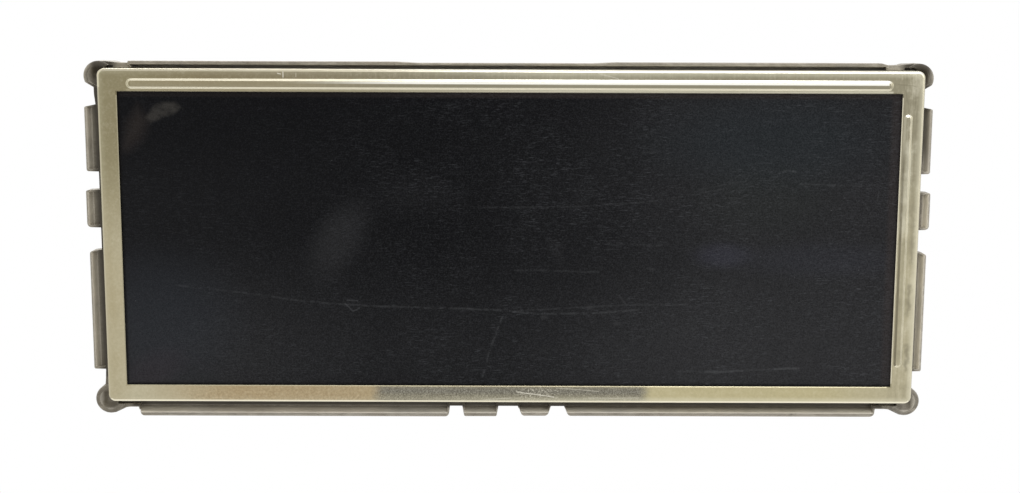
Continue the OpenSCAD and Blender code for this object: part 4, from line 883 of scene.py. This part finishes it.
def module_finishes():
    """The display module behind the bezel, front to back."""
    plain_finish("foam", ["front_gasket"], (24, 24, 26), (33, 32, 32), 0.95, grain=3.0, depth=0.08)
    plain_finish("cell_glass", ["color_filter_glass", "tft_glass"], (44, 50, 56), (52, 58, 63), 0.12,
                 depth=0.003)
    plain_finish("back_film", ["rear_polarizer"], (30, 32, 37), (36, 37, 42), 0.3, depth=0.003)
    plain_finish("silicon", ["driver_chips"], (86, 88, 96), (98, 99, 106), 0.25, 0.6, depth=0.004)
    plain_finish("flex_film", ["panel_flexes", "backlight_flex"], (168, 104, 38), (184, 118, 48), 0.35,
                 depth=0.01)
    plain_finish("black_plastic", ["panel_frame"], (26, 27, 29), (33, 34, 36), 0.5, depth=0.03, wear=0.3)
    plain_finish("optical_film", ["prism_film_upper", "prism_film_lower"], (196, 206, 210),
                 (208, 216, 219), 0.3, depth=0.006, stretch=(0.1, 1, 3))
    plain_finish("white_film", ["diffuser_film", "reflector_film"], (228, 230, 228), (238, 239, 237), 0.6)
    plain_finish("clear_plastic", ["light_guide"], (208, 222, 224), (216, 229, 231), 0.12, depth=0.004)
    plain_finish("white_board", ["led_strip"], (228, 225, 214), (236, 233, 224), 0.5)
    plain_finish("led_body", ["leds"], (226, 214, 132), (236, 226, 158), 0.4)
    plain_finish("tray_metal", ["backlight_tray"], (176, 178, 178), (192, 193, 192), 0.34, 0.9,
                 stretch=(0.15, 1, 2.5), wear=0.4)
    plain_finish("insulator_film", ["board_insulator"], (42, 41, 37), (50, 49, 44), 0.55)


def electronics_finishes():
    """The boards and what they carry, with the screws."""
    plain_finish("green_board", ["control_board", "source_board"], (22, 84, 52), (28, 94, 60), 0.4,
                 extra=board_marks)
    plain_finish("chip_plastic", ["graphics_chip", "memory_chips", "power_chips", "timing_chip"],
                 (34, 35, 38), (42, 43, 46), 0.6, depth=0.03)
    plain_finish("socket_plastic", ["ribbon_socket", "backlight_socket", "source_socket"],
                 (212, 206, 188), (222, 217, 200), 0.5)
    plain_finish("ribbon_film", ["ribbon_cable"], (222, 220, 212), (232, 230, 222), 0.4,
                 stretch=(4, 1, 0.1), depth=0.05)
    plain_finish("ferrite", ["coils"], (56, 55, 52), (68, 66, 62), 0.7, depth=0.05)
    plain_finish("can_metal", ["capacitors"], (192, 194, 196), (206, 207, 208), 0.3, 0.9)
    plain_finish("ceramic_parts", ["small_components"], (176, 156, 128), (190, 170, 142), 0.4)
    plain_finish("violet_plastic", ["video_connector"], (72, 68, 116), (82, 78, 126), 0.42, depth=0.03,
                 wear=0.3)
    plain_finish("contact_metal", ["video_contacts", "power_pins"], (198, 184, 130), (212, 200, 150),
                 0.25, 1.0)
    plain_finish("power_plastic", ["power_connector"], (30, 31, 33), (40, 41, 43), 0.45, depth=0.03,
                 wear=0.3)
    plain_finish("pad_rubber", ["thermal_pads"], (138, 160, 178), (150, 170, 186), 0.8, depth=0.05)
    plain_finish("screw_steel", ["module_screws", "board_screws"], (148, 150, 152), (168, 169, 170), 0.3,
                 0.95, wear=0.5)


def area_light(name, at, size, power):
    """A round lamp that points at the row frame's origin."""
    data = bpy.data.lights.new(name, "AREA")
    data.shape = "DISK"
    data.size = size
    data.energy = power
    lamp = bpy.data.objects.new(name, data)
    lamp.location = at
    lamp.rotation_euler = (-at).to_track_quat("-Z", "Y").to_euler()
    bpy.context.scene.collection.objects.link(lamp)


def shows_white(tree):
    """1 for the rays that see the background: from the camera, in reflections and through glass."""
    rays = tree.nodes.new("ShaderNodeLightPath")
    total = rays.outputs["Is Camera Ray"]
    for name in ("Is Glossy Ray", "Is Transmission Ray"):
        node = tree.nodes.new("ShaderNodeMath")
        node.operation = "MAXIMUM"
        tree.links.new(total, node.inputs[0])
        tree.links.new(rays.outputs[name], node.inputs[1])
        total = node.outputs[0]
    return total


def studio():
    """A world that shows as white and lights a little less than it shows, and three lamps."""
    world = bpy.data.worlds.new("studio")
    world.use_nodes = True
    bpy.context.scene.world = world
    tree = world.node_tree
    tree.nodes.clear()
    background = tree.nodes.new("ShaderNodeBackground")
    output = tree.nodes.new("ShaderNodeOutputWorld")
    tree.links.new(background.outputs[0], output.inputs["Surface"])
    strength = tree.nodes.new("ShaderNodeMapRange")
    strength.inputs["To Min"].default_value = WORLD_LIGHT
    strength.inputs["To Max"].default_value = 1.0
    tree.links.new(shows_white(tree), strength.inputs["Value"])
    tree.links.new(strength.outputs["Result"], background.inputs["Strength"])
    background.inputs["Color"].default_value = (1, 1, 1, 1)

    area_light("key", KEY_AT, KEY_SIZE, KEY_POWER)
    area_light("fill", FILL_AT, FILL_SIZE, FILL_POWER)
    area_light("back", BACK_AT, BACK_SIZE, BACK_POWER)


def floor_paper():
    """Paper that shows as white to the rays that see the background, a little less near the screen."""
    material = bpy.data.materials.new("floor_paper")
    material.use_nodes = True
    tree = material.node_tree
    tree.nodes.clear()
    paper = tree.nodes.new("ShaderNodeBsdfDiffuse")
    paper.inputs["Color"].default_value = (FLOOR_GREY, FLOOR_GREY, FLOOR_GREY, 1)
    white = tree.nodes.new("ShaderNodeEmission")
    away = tree.nodes.new("ShaderNodeVectorMath")
    away.operation = "LENGTH"
    tree.links.new(tree.nodes.new("ShaderNodeTexCoord").outputs["Object"], away.inputs[0])
    whiteness = tree.nodes.new("ShaderNodeMapRange")
    whiteness.inputs["From Min"].default_value = FLOOR_NEAR
    whiteness.inputs["From Max"].default_value = FLOOR_FAR
    whiteness.inputs["To Min"].default_value = FLOOR_WHITE_NEAR
    whiteness.inputs["To Max"].default_value = FLOOR_WHITE_FAR
    tree.links.new(away.outputs["Value"], whiteness.inputs["Value"])
    share = tree.nodes.new("ShaderNodeMath")
    share.operation = "MULTIPLY"
    tree.links.new(shows_white(tree), share.inputs[0])
    tree.links.new(whiteness.outputs["Result"], share.inputs[1])
    mix = tree.nodes.new("ShaderNodeMixShader")
    tree.links.new(share.outputs[0], mix.inputs[0])
    tree.links.new(paper.outputs[0], mix.inputs[1])
    tree.links.new(white.outputs[0], mix.inputs[2])
    output = tree.nodes.new("ShaderNodeOutputMaterial")
    tree.links.new(mix.outputs[0], output.inputs["Surface"])
    return material


def floor():
    half = FLOOR_SIZE / 2
    mesh = bpy.data.meshes.new("floor")
    corners = [(-half, -half, 0), (half, -half, 0), (half, half, 0), (-half, half, 0)]
    mesh.from_pydata(corners, [], [(0, 1, 2, 3)])
    ground = bpy.data.objects.new("floor", mesh)
    ground.location.z = FIRST_BOX[0].z - FLOOR_DROP
    bpy.context.scene.collection.objects.link(ground)
    mesh.materials.append(floor_paper())


def camera():
    data = bpy.data.cameras.new("camera")
    data.sensor_width = SENSOR
    data.lens = SENSOR * FOCAL_PIXELS / IMAGE_WIDTH
    seen_from = bpy.data.objects.new("camera", data)
    seen_from.location = CAMERA_AT
    seen_from.rotation_euler = Euler([math.radians(a) for a in CAMERA_TURN])
    bpy.context.scene.collection.objects.link(seen_from)
    bpy.context.scene.camera = seen_from


bezel_finish()
screen_finish()
casting_finish()
module_finishes()
electronics_finishes()
studio()
floor()
camera()
bpy.context.scene.view_settings.view_transform = "Standard"
